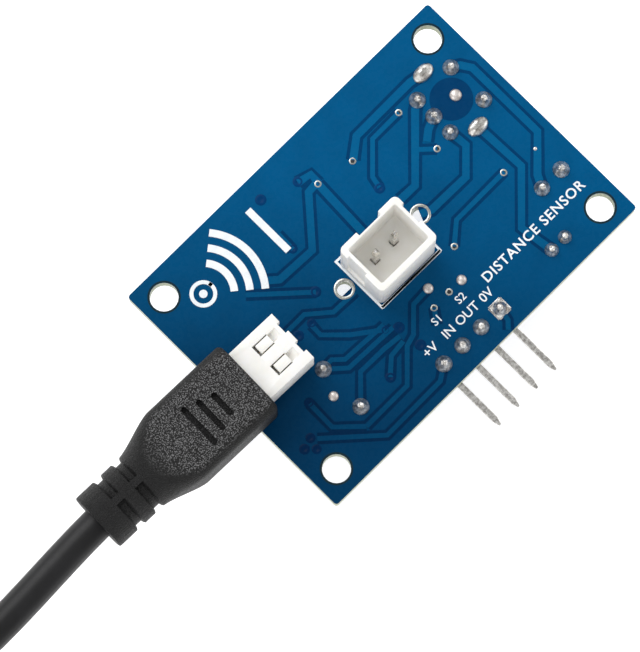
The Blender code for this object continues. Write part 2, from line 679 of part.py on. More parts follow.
def probe(shell_mat, ring_mat, cup_mat, piezo_mat, felt_mat, potting_mat, relief_mat, clip_mat):
    """The waterproof probe. Heights run from its face, at 0, back towards +X."""
    at = (PROBE_FACE_X, PROBE_Y, PROBE_Z)
    body = PROBE_BODY_RADIUS
    bore = body - PROBE_WALL
    bm = bmesh.new()
    add_lathe(
        bm,
        [
            (bore, 0.0),
            (PROBE_FLANGE_RADIUS - 0.0008, 0.0),
            (PROBE_FLANGE_RADIUS, 0.0008),
            (PROBE_FLANGE_RADIUS, PROBE_FLANGE_THICK),
            (body, PROBE_FLANGE_THICK),
            (body, PROBE_LENGTH - 0.0015),
            (body - 0.0015, PROBE_LENGTH),
            (0.0026, PROBE_LENGTH),
            (0.0026, PROBE_LENGTH - PROBE_WALL),
            (bore, PROBE_LENGTH - PROBE_WALL - 0.001),
        ],
        "X",
    )
    finish("probe_shell", bm, shell_mat, at, round_piece=True)
    bm = bmesh.new()
    inner = CUP_RADIUS + GAP / 2
    rim = bore - GAP / 2
    add_lathe(bm, [(inner, 0.0002), (rim, 0.0002), (rim, CUP_DEPTH), (inner, CUP_DEPTH)], "X")
    finish("probe_isolation_ring", bm, ring_mat, at, round_piece=True)
    bm = bmesh.new()
    skin = 0.0007
    inside = CUP_RADIUS - skin
    outer_side = [(0.0, 0.0), (CUP_RADIUS, 0.0), (CUP_RADIUS, CUP_DEPTH)]
    add_lathe(bm, outer_side + [(inside, CUP_DEPTH), (inside, skin), (0.0, skin)], "X")
    finish("transducer_cup", bm, cup_mat, at, round_piece=True)
    discs = (
        ("piezo_disc", 0.0035, 0.0009, 0.0014, piezo_mat),
        ("damping_disc", 0.006, 0.0017, 0.0042, felt_mat),
        ("probe_potting", 0.0062, 0.0095, 0.0145, potting_mat),
    )
    for name, radius, near, far, mat in discs:
        bm = bmesh.new()
        add_lathe(bm, [(0.0, near), (radius, near), (radius, far), (0.0, far)], "X", segments=24)
        finish(name, bm, mat, at, round_piece=True)
    bm = bmesh.new()
    add_lathe(
        bm,
        [
            (0.0, PROBE_LENGTH - 0.0025),
            (0.0024, PROBE_LENGTH - 0.0025),
            (0.0024, PROBE_LENGTH + GAP),
            (0.0034, PROBE_LENGTH + GAP),
            (0.0034, PROBE_LENGTH + 0.002),
            (0.0023, PROBE_LENGTH + RELIEF_LENGTH),
            (0.0, PROBE_LENGTH + RELIEF_LENGTH),
        ],
        "X",
        segments=24,
    )
    finish("probe_strain_relief", bm, relief_mat, at, round_piece=True)
    for name, side in (("clip_left", 1), ("clip_right", -1)):
        # A leaf spring anchored behind the flange that stands away from the body towards the back.
        bm = bmesh.new()
        near_z = -CLIP_WIDTH / 2
        path = [(0.0, 0.0), (0.0075, 0.0016), (0.0098, 0.001)]
        outline = [(x, side * y) for x, y in path] + [(x, side * (y + CLIP_THICK)) for x, y in reversed(path)]
        base = [bm.verts.new((x, y, near_z)) for x, y in outline]
        face = bm.faces.new(base)
        moved = bmesh.ops.extrude_face_region(bm, geom=[face])["geom"]
        far = [v for v in moved if isinstance(v, bmesh.types.BMVert)]
        bmesh.ops.translate(bm, verts=far, vec=(0, 0, CLIP_WIDTH))
        hinge_x = PROBE_FACE_X + PROBE_FLANGE_THICK + 0.0012
        finish(name, bm, clip_mat, (hinge_x, PROBE_Y + side * (PROBE_BODY_RADIUS + GAP), PROBE_Z))


def build():
    """Make every piece."""
    clear_scene()
    blue = material("solder_mask", (0.02, 0.09, 0.42), 0.35)
    white = material("white_nylon", (0.86, 0.85, 0.80), 0.45)
    tin = material("tinned_brass", (0.80, 0.79, 0.75), 0.30, 1.0)
    black = material("black_plastic", (0.03, 0.03, 0.03), 0.55)
    silver = material("nickel_can", (0.72, 0.72, 0.70), 0.28, 1.0)
    ferrite = material("ferrite", (0.09, 0.09, 0.10), 0.60)
    copper = material("enamelled_copper", (0.55, 0.20, 0.08), 0.35, 1.0)
    rubber = material("black_rubber", (0.04, 0.04, 0.04), 0.80)
    sleeve = material("aluminium_can", (0.75, 0.76, 0.77), 0.35, 1.0)
    grip_vinyl = material("grip_vinyl", (0.05, 0.05, 0.05), 0.70)
    cable_vinyl = material("cable_vinyl", (0.02, 0.02, 0.02), 0.50)
    tie_nylon = material("tie_nylon", (0.03, 0.03, 0.03), 0.50)
    cup_metal = material("aluminium_cup", (0.78, 0.78, 0.78), 0.30, 1.0)
    ceramic = material("piezo_ceramic", (0.70, 0.65, 0.55), 0.50)
    felt = material("damping_foam", (0.45, 0.42, 0.38), 0.90)
    resin = material("potting_resin", (0.06, 0.06, 0.07), 0.40)
    steel = material("spring_steel", (0.60, 0.60, 0.60), 0.30, 1.0)
    circuit_board(blue)
    probe_header(white, tin)
    signal_header(black, tin)
    transformer(silver, black, copper, ferrite, tin)
    capacitor("reservoir_cap", BIG_CAP, sleeve, rubber, tin)
    capacitor("small_cap", SMALL_CAP, sleeve, rubber, tin)
    crystal(silver, tin)
    chips(black)
    frame = bpy.data.objects.new("lead_frame", None)
    bpy.context.collection.objects.link(frame)
    frame.location = (*LEAD_AT, LEAD_Z)
    frame.rotation_euler = (0, 0, LEAD_TURN)
    plug(frame, white, tin)
    grip(frame, grip_vinyl)
    cable_tube("cable_lead_out", lead_out_points(), cable_vinyl)
    hank(cable_vinyl, tie_nylon)
    cable_tube("cable_to_probe", probe_end_points(), cable_vinyl)
    probe(black, rubber, cup_metal, ceramic, felt, resin, rubber, steel)


build()
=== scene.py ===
"""The looks of the ultrasonic distance sensor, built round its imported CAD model."""

import math
import random

import bmesh
import bpy
from mathutils import Matrix, Vector


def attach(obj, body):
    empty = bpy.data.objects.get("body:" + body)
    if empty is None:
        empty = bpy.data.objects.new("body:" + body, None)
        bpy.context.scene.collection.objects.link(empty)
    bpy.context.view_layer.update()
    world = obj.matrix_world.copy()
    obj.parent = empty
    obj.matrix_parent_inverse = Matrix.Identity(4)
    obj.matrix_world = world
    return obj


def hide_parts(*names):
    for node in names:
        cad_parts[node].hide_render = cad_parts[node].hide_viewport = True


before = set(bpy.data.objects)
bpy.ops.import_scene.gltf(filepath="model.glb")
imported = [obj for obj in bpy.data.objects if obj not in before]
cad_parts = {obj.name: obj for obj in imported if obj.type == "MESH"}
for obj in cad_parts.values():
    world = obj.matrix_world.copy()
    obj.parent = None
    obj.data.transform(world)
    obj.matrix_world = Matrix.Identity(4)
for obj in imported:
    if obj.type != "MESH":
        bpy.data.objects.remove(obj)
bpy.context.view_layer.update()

# ---------------------------------------------------------------------------------------------------
# Camera, floor and light. The module lies under a camera that looks almost straight down on its solder
# side, from the side of the lead, over a plain white sweep lit by large soft lamps.

CAMERA_AT = Vector((-0.05552, -0.04820, 0.41132))
CAMERA_BACK = Vector((-0.11123, -0.11410, 0.98722))
CAMERA_RIGHT = Vector((0.70819, -0.70602, -0.00181))
LENS_MM = 238.3
SURFACE_Z = -0.012
FLOOR_GAP = 0.0002
FLOOR_HALF = 3.0


def object_of(name, data):
    """A new object in the scene for a mesh, a curve, a lamp or a camera."""
    made = bpy.data.objects.new(name, data)
    bpy.context.collection.objects.link(made)
    return made


camera_data = bpy.data.cameras.new("camera")
camera_data.lens = LENS_MM
camera_data.sensor_width = 36.0
camera_data.clip_start = 0.02
camera_data.clip_end = 20.0
camera = object_of("camera", camera_data)
camera_up = CAMERA_BACK.cross(CAMERA_RIGHT).normalized()
camera.matrix_world = Matrix.Translation(CAMERA_AT) @ Matrix(
    (CAMERA_RIGHT.normalized(), camera_up, CAMERA_BACK.normalized())
).transposed().to_4x4()
bpy.context.scene.camera = camera


def wire(tree, start, end):
    """Joins two sockets."""
    tree.links.new(start, end)


def add_node(tree, kind, inputs, **settings):
    """A new node with its settings. Each input named takes a plain value or another node's socket."""
    made = tree.nodes.new(kind)
    for name, value in settings.items():
        setattr(made, name, value)
    for key, value in inputs.items():
        if isinstance(value, bpy.types.NodeSocket):
            wire(tree, value, made.inputs[key])
        else:
            made.inputs[key].default_value = value
    return made


floor_mesh = bpy.data.meshes.new("floor")
floor_corners = [(sx * FLOOR_HALF, sy * FLOOR_HALF, 0) for sx, sy in ((-1, -1), (1, -1), (1, 1), (-1, 1))]
floor_mesh.from_pydata(floor_corners, [], [(0, 1, 2, 3)])
floor = object_of("floor", floor_mesh)
floor.location.z = SURFACE_Z - FLOOR_GAP
floor_paint = bpy.data.materials.new("floor_white")
floor_paint.use_nodes = True
floor_tree = floor_paint.node_tree
floor_shader = floor_tree.nodes["Principled BSDF"]
floor_shader.inputs["Base Color"].default_value = (0.9, 0.9, 0.9, 1)
floor_shader.inputs["Roughness"].default_value = 0.9
floor_shader.inputs["Emission Color"].default_value = (1, 1, 1, 1)
floor_shader.inputs["Emission Strength"].default_value = 0.55
# Seen from below, the floor is clear, so that the underside can be looked at.
floor_side = floor_tree.nodes.new("ShaderNodeNewGeometry")
floor_clear = floor_tree.nodes.new("ShaderNodeBsdfTransparent")
floor_mix = add_node(floor_tree, "ShaderNodeMixShader", {
    0: floor_side.outputs["Backfacing"], 1: floor_shader.outputs[0], 2: floor_clear.outputs[0],
})
wire(floor_tree, floor_mix.outputs[0], floor_tree.nodes["Material Output"].inputs["Surface"])
floor_mesh.materials.append(floor_paint)

bpy.context.scene.view_settings.view_transform = "Standard"
world = bpy.data.worlds.new("studio")
world.use_nodes = True
world.node_tree.nodes["Background"].inputs["Color"].default_value = (1.0, 1.0, 1.0, 1)
world.node_tree.nodes["Background"].inputs["Strength"].default_value = 0.5
bpy.context.scene.world = world


def soft_lamp(name, place, target, size, power):
    """A large square lamp that faces a point."""
    data = bpy.data.lights.new(name, "AREA")
    data.shape = "SQUARE"
    data.size = size
    data.energy = power
    lamp = object_of(name, data)
    lamp.location = place
    lamp.rotation_mode = "QUATERNION"
    lamp.rotation_quaternion = (Vector(target) - Vector(place)).to_track_quat("-Z", "Y")


soft_lamp("key_lamp", (0.10, 0.75, 0.85), (0, 0, 0), 0.90, 8.0)
soft_lamp("fill_lamp", (-0.85, -0.10, 0.60), (-0.02, 0, 0), 0.90, 3.0)
soft_lamp("rim_lamp", (0.70, -0.45, 0.50), (0, 0, 0), 0.70, 2.0)

# ---------------------------------------------------------------------------------------------------
# The probe's cable: a round black vinyl cable, 3.3 mm thick and 2.5 m long, from the moulded plug to the
# probe. The length that isn't in use is wound as a long hank of six layers, three turns wide, under a tie.

CABLE_RADIUS = 0.00165
LEAD_AT = Vector((-0.0125, -0.00037, 0.0054))
LEAD_TURN = math.radians(-1.3)
GRIP_END = -0.0252
LEAVE_X = -0.0525
LEAVE_SIDE = -0.0005  # how far it has drifted sideways by then
LEAD_STEPS = 6
FAR_STEPS = 16
NEAR_STEPS = 13
BEND_RADIUS = 0.016
MERGE_ANGLE = math.radians(35)
HANK_Y = -0.0027
HANK_TURN_RADIUS = 0.0170
HANK_NEAR_X = -0.0826
HANK_STRAIGHT = 0.0231
HANK_LAYERS = 6
HANK_WIDE = 3
HANK_BOTTOM = SURFACE_Z + 0.0012
PROBE_BACK_X = -0.1485
PROBE_Z = -0.001
LEVEL_AT_PROBE = 0.004  # the length that is already at the probe's height when it meets the relief


def tone(red, green, blue):
    """A colour given as it looks on a screen, 0 to 255, for a shader's socket."""
    linear = [((c / 255 + 0.055) / 1.055) ** 2.4 if c > 10 else c / 3294.6 for c in (red, green, blue)]
    return (*linear, 1.0)


def ramp(tree, value, low, high):
    """0 below low, 1 above high and even in between."""
    made = add_node(tree, "ShaderNodeMapRange", {"Value": value, "From Min": low, "From Max": high})
    return made.outputs["Result"]


def mix_colour(tree, share, first, second, blend="MIX"):
    """A colour mix. Its share and its sides are sockets or plain values."""
    sides = {0: share, 6: first, 7: second}
    return add_node(tree, "ShaderNodeMix", sides, data_type="RGBA", blend_type=blend).outputs[2]


def surface_group():
    """Patchy colour, uneven gloss and a fine grain, all fixed to the object's own space."""
    tree = bpy.data.node_groups.new("uneven_surface", "ShaderNodeTree")
    face = tree.interface
    inputs = (
        ("Base", "NodeSocketColor", (0.5, 0.5, 0.5, 1)),
        ("Patch Colour", "NodeSocketColor", (0.4, 0.4, 0.4, 1)),
        ("Patch Scale", "NodeSocketFloat", 200.0),
        ("Patch Contrast", "NodeSocketFloat", 0.5),
        ("Grain Scale", "NodeSocketFloat", 4000.0),
        ("Gloss Low", "NodeSocketFloat", 0.3),
        ("Gloss High", "NodeSocketFloat", 0.5),
    )
    for label, kind, value in inputs:
        face.new_socket(label, in_out="INPUT", socket_type=kind).default_value = value
    for label, kind in (("Colour", "Color"), ("Roughness", "Float"), ("Height", "Float")):
        face.new_socket(label, in_out="OUTPUT", socket_type="NodeSocket" + kind)
    start = tree.nodes.new("NodeGroupInput")
    end = tree.nodes.new("NodeGroupOutput")
    place = tree.nodes.new("ShaderNodeTexCoord")
    patches = add_node(tree, "ShaderNodeTexNoise", {
        "Vector": place.outputs["Object"], "Scale": start.outputs["Patch Scale"], "Detail": 4.0,
    })
    grain = add_node(tree, "ShaderNodeTexNoise", {
        "Vector": place.outputs["Object"], "Scale": start.outputs["Grain Scale"], "Detail": 3.0,
    })
    amount = add_node(tree, "ShaderNodeMath", {
        0: ramp(tree, patches.outputs["Fac"], 0.38, 0.62), 1: start.outputs["Patch Contrast"],
    }, operation="MULTIPLY")
    gloss = add_node(tree, "ShaderNodeMapRange", {
        "Value": grain.outputs["Fac"], "From Min": 0.3, "From Max": 0.7,
        "To Min": start.outputs["Gloss Low"], "To Max": start.outputs["Gloss High"],
    })
    colour = mix_colour(tree, amount.outputs[0], start.outputs["Base"], start.outputs["Patch Colour"])
    wire(tree, colour, end.inputs["Colour"])
    wire(tree, gloss.outputs["Result"], end.inputs["Roughness"])
    wire(tree, grain.outputs["Fac"], end.inputs["Height"])
    return tree


UNEVEN = surface_group()


def coating(name, base, patch, patch_size, grain_size, gloss, depth, metal=0.0, contrast=0.6, shine=0.5):
    """A material with patchy colour, uneven gloss and grain. Sizes and the grain's depth are in mm."""
    made = bpy.data.materials.new(name)
    made.use_nodes = True
    tree = made.node_tree
    shader = tree.nodes["Principled BSDF"]
    shader.inputs["Metallic"].default_value = metal
    shader.inputs["Specular IOR Level"].default_value = shine
    skin = add_node(tree, "ShaderNodeGroup", {
        "Base": base, "Patch Colour": patch, "Patch Scale": 1000 / patch_size, "Patch Contrast": contrast,
        "Grain Scale": 1000 / grain_size, "Gloss Low": gloss[0], "Gloss High": gloss[1],
    }, node_tree=UNEVEN, name="skin")
    bump = add_node(tree, "ShaderNodeBump", {
        "Height": skin.outputs["Height"], "Distance": depth / 1000, "Strength": 1.0,
    })
    wire(tree, skin.outputs["Colour"], shader.inputs["Base Color"])
    wire(tree, skin.outputs["Roughness"], shader.inputs["Roughness"])
    wire(tree, bump.outputs["Normal"], shader.inputs["Normal"])
    return made


def ease(share):
    """Smooth rise from 0 to 1."""
    share = min(max(share, 0.0), 1.0)
    return share * share * (3 - 2 * share)


def layer_height(layer):
    """The middle of one of the hank's layers, 0 being the lowest."""
    return HANK_BOTTOM + CABLE_RADIUS * (2 * layer + 1)


def lead_out():
    """Out of the grip with a slight bow to one side, then round onto the hank's top outer turn."""
    turn = Matrix.Rotation(LEAD_TURN, 3, "Z")
    start = turn @ Vector((GRIP_END, 0, 0)) + LEAD_AT
    end_y = start.y + LEAVE_SIDE
    flat = []
    for k in range(LEAD_STEPS + 1):
        share = k / LEAD_STEPS
        x = start.x + (LEAVE_X - start.x) * share
        flat.append(Vector((x, start.y + LEAVE_SIDE * ease(share), start.z)))
    centre = Vector((LEAVE_X, end_y + BEND_RADIUS, start.z))
    for k in (1, 2, 3, 4):
        a = MERGE_ANGLE * k / 4
        flat.append(centre + BEND_RADIUS * Vector((-math.sin(a), -math.cos(a), 0)))
    hub = Vector((HANK_NEAR_X, HANK_Y, start.z))
    touch = hub + HANK_TURN_RADIUS * Vector((math.sin(MERGE_ANGLE), math.cos(MERGE_ANGLE), 0))
    bend_end = flat[-1].copy()
    for k in (1, 2, 3, 4, 5):
        flat.append(bend_end.lerp(touch, k / 6))
    return flat


def one_turn(here, there, z_here, z_there):
    """One turn from the near end round to it again, moving to the next turn's track on its -Y run."""
    start = math.pi / 2 - MERGE_ANGLE
    near_bend = math.pi / 2 + start
    half = HANK_STRAIGHT / 2
    middle = Vector((HANK_NEAR_X - half, HANK_Y, 0))
    stops = [(half, start + (math.pi / 2 - start) * k / 4, 0.0) for k in range(4)]
    stops += [(half - HANK_STRAIGHT * k / 3, math.pi / 2, 0.0) for k in range(3)]
    stops += [(-half, math.pi / 2 + math.pi * k / FAR_STEPS, 0.0) for k in range(FAR_STEPS)]
    stops += [(-half + HANK_STRAIGHT * k / 6, 3 * math.pi / 2, k / 6) for k in range(6)]
    stops += [(half, 3 * math.pi / 2 + near_bend * k / NEAR_STEPS, 1.0) for k in range(NEAR_STEPS)]
    points = []
    for x, a, share in stops:
        radius = here + (there - here) * ease(share)
        z = z_here + (z_there - z_here) * ease(share)
        points.append(middle + Vector((x + radius * math.cos(a), radius * math.sin(a), z)))
    return points


def hank_turns():
    """Every turn of the hank: each layer runs from the outside in, or back, from the top layer down."""
    tracks = []
    for number in range(HANK_LAYERS):
        columns = list(range(HANK_WIDE))
        if number % 2:
            columns.reverse()
        z = layer_height(HANK_LAYERS - 1 - number)
        tracks += [(HANK_TURN_RADIUS - 2 * CABLE_RADIUS * column, z) for column in columns]
    points = []
    for (here, z_here), (there, z_there) in zip(tracks, tracks[1:] + tracks[-1:]):
        points += one_turn(here, there, z_here, z_there)
    return points


def probe_end():
    """From the lowest outer turn at the far end, round and up into the back of the probe."""
    hub = Vector((HANK_NEAR_X - HANK_STRAIGHT, HANK_Y, 0))
    low = layer_height(0)
    start = math.pi / 2 - MERGE_ANGLE
    near = Vector((HANK_NEAR_X, HANK_Y, low))
    flat = []
    for k in range(4):
        a = start + (math.pi / 2 - start) * k / 4
        flat.append(near + HANK_TURN_RADIUS * Vector((math.cos(a), math.sin(a), 0)))
    for k in range(4):
        flat.append(near + Vector((-HANK_STRAIGHT * k / 4, HANK_TURN_RADIUS, 0)))
    for k in range(4):
        a = math.pi / 2 + MERGE_ANGLE * k / 4
        flat.append(hub + Vector((HANK_TURN_RADIUS * math.cos(a), HANK_TURN_RADIUS * math.sin(a), low)))
    tangent = hub + HANK_TURN_RADIUS * Vector((-math.sin(MERGE_ANGLE), math.cos(MERGE_ANGLE), 0))
    tangent.z = low
    heading = Vector((-math.cos(MERGE_ANGLE), -math.sin(MERGE_ANGLE), 0))
    drop = tangent.y - HANK_Y - BEND_RADIUS * (1 - math.cos(MERGE_ANGLE))
    line_end = tangent + heading * (drop / math.sin(MERGE_ANGLE))
    flat += [tangent.lerp(line_end, k / 4) for k in range(5)]
    first_free = len(flat) - 5
    bend_end = line_end + Vector((-BEND_RADIUS * math.sin(MERGE_ANGLE), 0, 0))
    centre = Vector((bend_end.x, HANK_Y + BEND_RADIUS, low))
    for k in (1, 2, 3, 4):
        a = MERGE_ANGLE * (1 - k / 4)
        flat.append(centre + BEND_RADIUS * Vector((math.sin(a), -math.cos(a), 0)))
    for k in (1, 2, 3):
        flat.append(Vector((bend_end.x + (PROBE_BACK_X - bend_end.x) * k / 3, HANK_Y, low)))
    run = [0.0]
    for a, b in zip(flat[first_free:], flat[first_free + 1:]):
        run.append(run[-1] + (b - a).length)
    for p, r in zip(flat[first_free:], run):
        p.z = low + (PROBE_Z - low) * ease(r / (run[-1] - LEVEL_AT_PROBE))
    return flat


route = lead_out()
lead_points = len(route)
route += hank_turns()
run = [0.0]
for a, b in zip(route[:lead_points], route[1:lead_points + 1]):
    run.append(run[-1] + (b - a).length)
rise = layer_height(HANK_LAYERS - 1) - LEAD_AT.z
straight = run[LEAD_STEPS]
for point, r in zip(route[:lead_points], run):
    point.z = LEAD_AT.z + rise * ease((r - straight) / (run[-1] - straight))
route += probe_end()

cable_vinyl = coating(
    "cable_vinyl", tone(22, 22, 23), tone(32, 32, 34), 3.0, 0.12, (0.38, 0.5), 0.004, shine=0.3
)
cable_curve = bpy.data.curves.new("probe_cable", "CURVE")
cable_curve.dimensions = "3D"
cable_curve.bevel_depth = CABLE_RADIUS
cable_curve.bevel_resolution = 4
cable_curve.use_fill_caps = True
cable_curve.materials.append(cable_vinyl)
spline = cable_curve.splines.new("POLY")
spline.points.add(len(route) - 1)
spline.use_smooth = True
for place, point in zip(spline.points, route):
    place.co = (*point, 1.0)
probe_cable = object_of("probe_cable", cable_curve)
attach(probe_cable, "probe_lead")
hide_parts("cable_lead_out", "cable_hank", "cable_to_probe")

# ---------------------------------------------------------------------------------------------------
# The circuit board: glass-epoxy laminate, 1.6 mm thick, under a glossy blue solder mask. Its routed edges
# show the bare pale laminate. Four plain holes in the corners take the spacers' screws.

BOARD_TOP = 1.6  # mm, as are all shapes from here on
MASK_BLUE = tone(0, 84, 132)


def set_finish(node, material):
    """Gives a CAD node its finish."""
    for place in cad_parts[node].material_slots:
        place.material = material


def mask_finish(name, light, dark, edge=None):
    """Solder mask with a painted shade towards one corner, over bare laminate on upright faces if wanted.
    """
    made = coating(name, light, dark, 2.4, 0.5, (0.22, 0.34), 0.004, contrast=0.35, shine=0.05)
    tree = made.node_tree
    place = tree.nodes.new("ShaderNodeTexCoord")
    # Painted shade: the mask colour is darkened towards the board's -X, -Y corner.
    across = add_node(tree, "ShaderNodeVectorMath", {
        0: place.outputs["Object"], 1: (30.0, 30.0, 0.0),
    }, operation="DOT_PRODUCT")
    fall = ramp(tree, across.outputs["Value"], -0.7, 0.35)
    shade = mix_colour(tree, fall, (0.3, 0.42, 0.45, 1), (1, 1, 1, 1))
    colour = mix_colour(tree, 1.0, tree.nodes["skin"].outputs["Colour"], shade, "MULTIPLY")
    if edge:
        split = add_node(tree, "ShaderNodeSeparateXYZ", {0: place.outputs["Normal"]})
        size = add_node(tree, "ShaderNodeMath", {0: split.outputs["Z"]}, operation="ABSOLUTE")
        colour = mix_colour(tree, ramp(tree, size.outputs[0], 0.3, 0.6), edge, colour)
    wire(tree, colour, tree.nodes["Principled BSDF"].inputs["Base Color"])
    return made


board_finish = mask_finish("blue_mask", MASK_BLUE, tone(0, 76, 120), edge=tone(172, 178, 150))
set_finish("circuit_board", board_finish)

# ---------------------------------------------------------------------------------------------------
# Copper tracks under the mask. Etched copper stands 0.03 mm above the laminate, so each track shows as a
# slightly raised lighter strip between two darker channels where the copper pour was cut back.

TRACK_RUNS = {
    0.85: [
        [(17.58, 8.19), (18.4, 7.7), (19.04, 6.7), (19.04, -2.2), (16.0, -5.2), (15.35, -6.46)],
        [(15.28, 2.2), (15.5, -3.5), (11.18, -7.8), (11.7, -11.37)],
        [(12.98, 3.69), (13.18, 1.75), (10.93, -0.48), (6.3, -0.41), (5.21, 0.05)],
        [(12.98, 8.19), (12.1, 7.62), (6.86, 2.39), (4.86, 2.43)],
        [(15.28, 9.69), (13.7, 9.94), (6.3, 9.86), (4.4, 8.4)],
        [(12.98, 5.94), (11.7, 5.4), (10.72, 4.64)],
        [(0.32, 9.12), (0.03, 2.6)],
        [(0.32, 9.3), (-0.9, 9.2), (-4.66, 4.91), (-8.9, 5.09), (-10.34, 6.3)],
        [(-0.95, 10.6), (0.5, 10.3), (0.4, 9.2)],
    ],
    0.55: [
        [(9.37, 4.89), (10.92, 3.45)],
        [(13.92, -2.73), (7.29, -2.81), (5.29, -4.49)],
        [(10.83, 8.59), (7.2, 8.55), (4.54, 5.89), (4.3, 4.7)],
        [(-5.87, 8.36), (-5.94, 6.29)],
        [(-12.29, 6.34), (-7.3, 1.75)],
        [(-12.11, -4.05), (-10.28, -5.7), (-4.5, -5.9)],
        [(-12.11, -4.05), (-10.9, -3.95), (-9.95, -4.85), (-4.93, -5.1)],
        [(-12.11, -9.15), (-9.74, -6.75), (-6.58, -6.78), (-4.62, -6.98)],
        [(-8.1, -9.14), (-6.56, -7.75), (-4.73, -7.55)],
        [(0.6, -5.62), (-1.49, -5.71), (-3.59, -7.79), (-4.79, -8.13), (-7.53, -10.86), (-13.08, -10.89)],
        [(-13.08, -10.89), (-15.46, -8.62), (-15.4, -5.5)],
        [(-0.32, -7.32), (-1.3, -8.7)],
        [(-3.54, -11.86), (-4.98, -12.8), (-12.27, -12.9), (-17.25, -8.4)],
        [(-9.88, -0.22), (-9.94, -1.5), (-7.94, -3.49), (-5.2, -5.5)],
        [(-14.5, 0.93), (-9.65, 1.01), (-7.48, -0.81), (-4.6, -0.9)],
        [(4.08, -11.86), (3.86, -13.2), (3.2, -13.9)],
    ],
}
CHANNEL_WIDTH = 0.3
CHANNEL_RISE = 0.016
TRACK_RISE = 0.035
LEVEL_STEP = 0.002  # runs that cross lie at slightly different levels


def growing_tree(name, inputs):
    """A Geometry Nodes tree with named inputs."""
    tree = bpy.data.node_groups.new(name, "GeometryNodeTree")
    tree.interface.new_socket("Geometry", in_out="INPUT", socket_type="NodeSocketGeometry")
    for label, kind, value in inputs:
        made = tree.interface.new_socket(label, in_out="INPUT", socket_type="NodeSocket" + kind)
        if value is not None:
            made.default_value = value
    tree.interface.new_socket("Geometry", in_out="OUTPUT", socket_type="NodeSocketGeometry")
    return tree, tree.nodes.new("NodeGroupInput"), tree.nodes.new("NodeGroupOutput")


def send_out(tree, shape, start, end):
    """Makes the copies real, gives them the tree's material and sends them out."""
    plain = add_node(tree, "GeometryNodeRealizeInstances", {0: shape})
    dress = add_node(tree, "GeometryNodeSetMaterial", {
        0: plain.outputs[0], "Material": start.outputs["Material"],
    })
    wire(tree, dress.outputs[0], end.inputs[0])


def strip_tree():
    """Sweeps a low strip with sloping sides along every run of edges."""
    tree, start, end = growing_tree("strips", (
        ("Width", "Float", 0.5), ("Rise", "Float", 0.03), ("Material", "Material", None),
    ))
    runs = add_node(tree, "GeometryNodeMeshToCurve", {0: start.outputs["Geometry"]})
    upright = add_node(tree, "GeometryNodeSetCurveNormal", {0: runs.outputs[0]}, mode="Z_UP")
    narrower = add_node(tree, "ShaderNodeMath", {
        0: start.outputs["Width"], 1: start.outputs["Rise"],
    }, operation="SUBTRACT")
    outline = add_node(tree, "GeometryNodeCurvePrimitiveQuadrilateral", {
        "Top Width": start.outputs["Width"], "Bottom Width": narrower.outputs[0],
        "Height": start.outputs["Rise"], "Offset": 0.0,
    }, mode="TRAPEZOID")
    sweep = add_node(tree, "GeometryNodeCurveToMesh", {
        "Curve": upright.outputs[0], "Profile Curve": outline.outputs[0], "Fill Caps": True,
    })
    send_out(tree, sweep.outputs[0], start, end)
    return tree


STRIPS = strip_tree()


def worked_out(holder):
    """A bmesh of what an object's modifiers or letters make. The object is then removed."""
    graph = bpy.context.evaluated_depsgraph_get()
    mesh = bpy.data.meshes.new_from_object(holder.evaluated_get(graph), depsgraph=graph)
    bpy.data.objects.remove(holder)
    bm = bmesh.new()
    bm.from_mesh(mesh)
    bpy.data.meshes.remove(mesh)
    return bm


def grown(start, tree, values):
    """The bmesh that a Geometry Nodes tree makes from an object, which is then removed."""
    step = start.modifiers.new("grow", "NODES")
    step.node_group = tree
    for item in tree.interface.items_tree:
        if item.item_type == "SOCKET" and item.in_out == "INPUT" and item.name in values:
            step[item.identifier] = values[item.name]
    return worked_out(start)


def strips(runs, height, width, rise, material):
    """A bmesh of strips along runs of (x, y) points, at a height."""
    corners = []
    edges = []
    for number, run_points in enumerate(runs):
        first = len(corners)
        level = height + LEVEL_STEP * (number % 6)
        corners += [(x, y, level) for x, y in run_points]
        edges += [(k, k + 1) for k in range(first, len(corners) - 1)]
    lines = bpy.data.meshes.new("runs")
    lines.from_pydata(corners, edges, [])
    return grown(object_of("runs", lines), STRIPS, {"Width": width, "Rise": rise, "Material": material})


def joined(parts):
    """Several bmeshes as one."""
    whole = bmesh.new()
    for part in parts:
        scratch = bpy.data.meshes.new("scratch")
        part.to_mesh(scratch)
        part.free()
        whole.from_mesh(scratch)
        bpy.data.meshes.remove(scratch)
    return whole


def make_piece(name, bm, materials, body, nodes=(), sharp=35, outward=True):
    """A finished piece from a bmesh in millimetres, on its CAD body and in place of its CAD nodes."""
    bmesh.ops.scale(bm, verts=bm.verts, vec=(0.001, 0.001, 0.001))
    if outward:
        bmesh.ops.recalc_face_normals(bm, faces=bm.faces)
    mesh = bpy.data.meshes.new(name)
    bm.to_mesh(mesh)
    bm.free()
    mesh.materials.clear()
    for material in materials:
        mesh.materials.append(material)
    mesh.shade_smooth()
    mesh.set_sharp_from_angle(angle=math.radians(sharp))
    piece = object_of(name, mesh)
    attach(piece, body)
    if nodes:
        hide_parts(*nodes)
    return piece


channel_finish = mask_finish("mask_over_laminate", tone(0, 60, 104), tone(0, 52, 96))
track_finish = mask_finish("mask_over_copper", tone(2, 90, 138), tone(4, 98, 142))
channel_parts = []
track_parts = []
for width, runs in TRACK_RUNS.items():
    channel_parts.append(strips(runs, BOARD_TOP, width + 2 * CHANNEL_WIDTH, CHANNEL_RISE, channel_finish))
    track_parts.append(strips(runs, BOARD_TOP, width, 2 * TRACK_RISE, track_finish))
make_piece("track_channels", joined(channel_parts), [channel_finish], "board")
make_piece("tracks", joined(track_parts), [track_finish], "board")

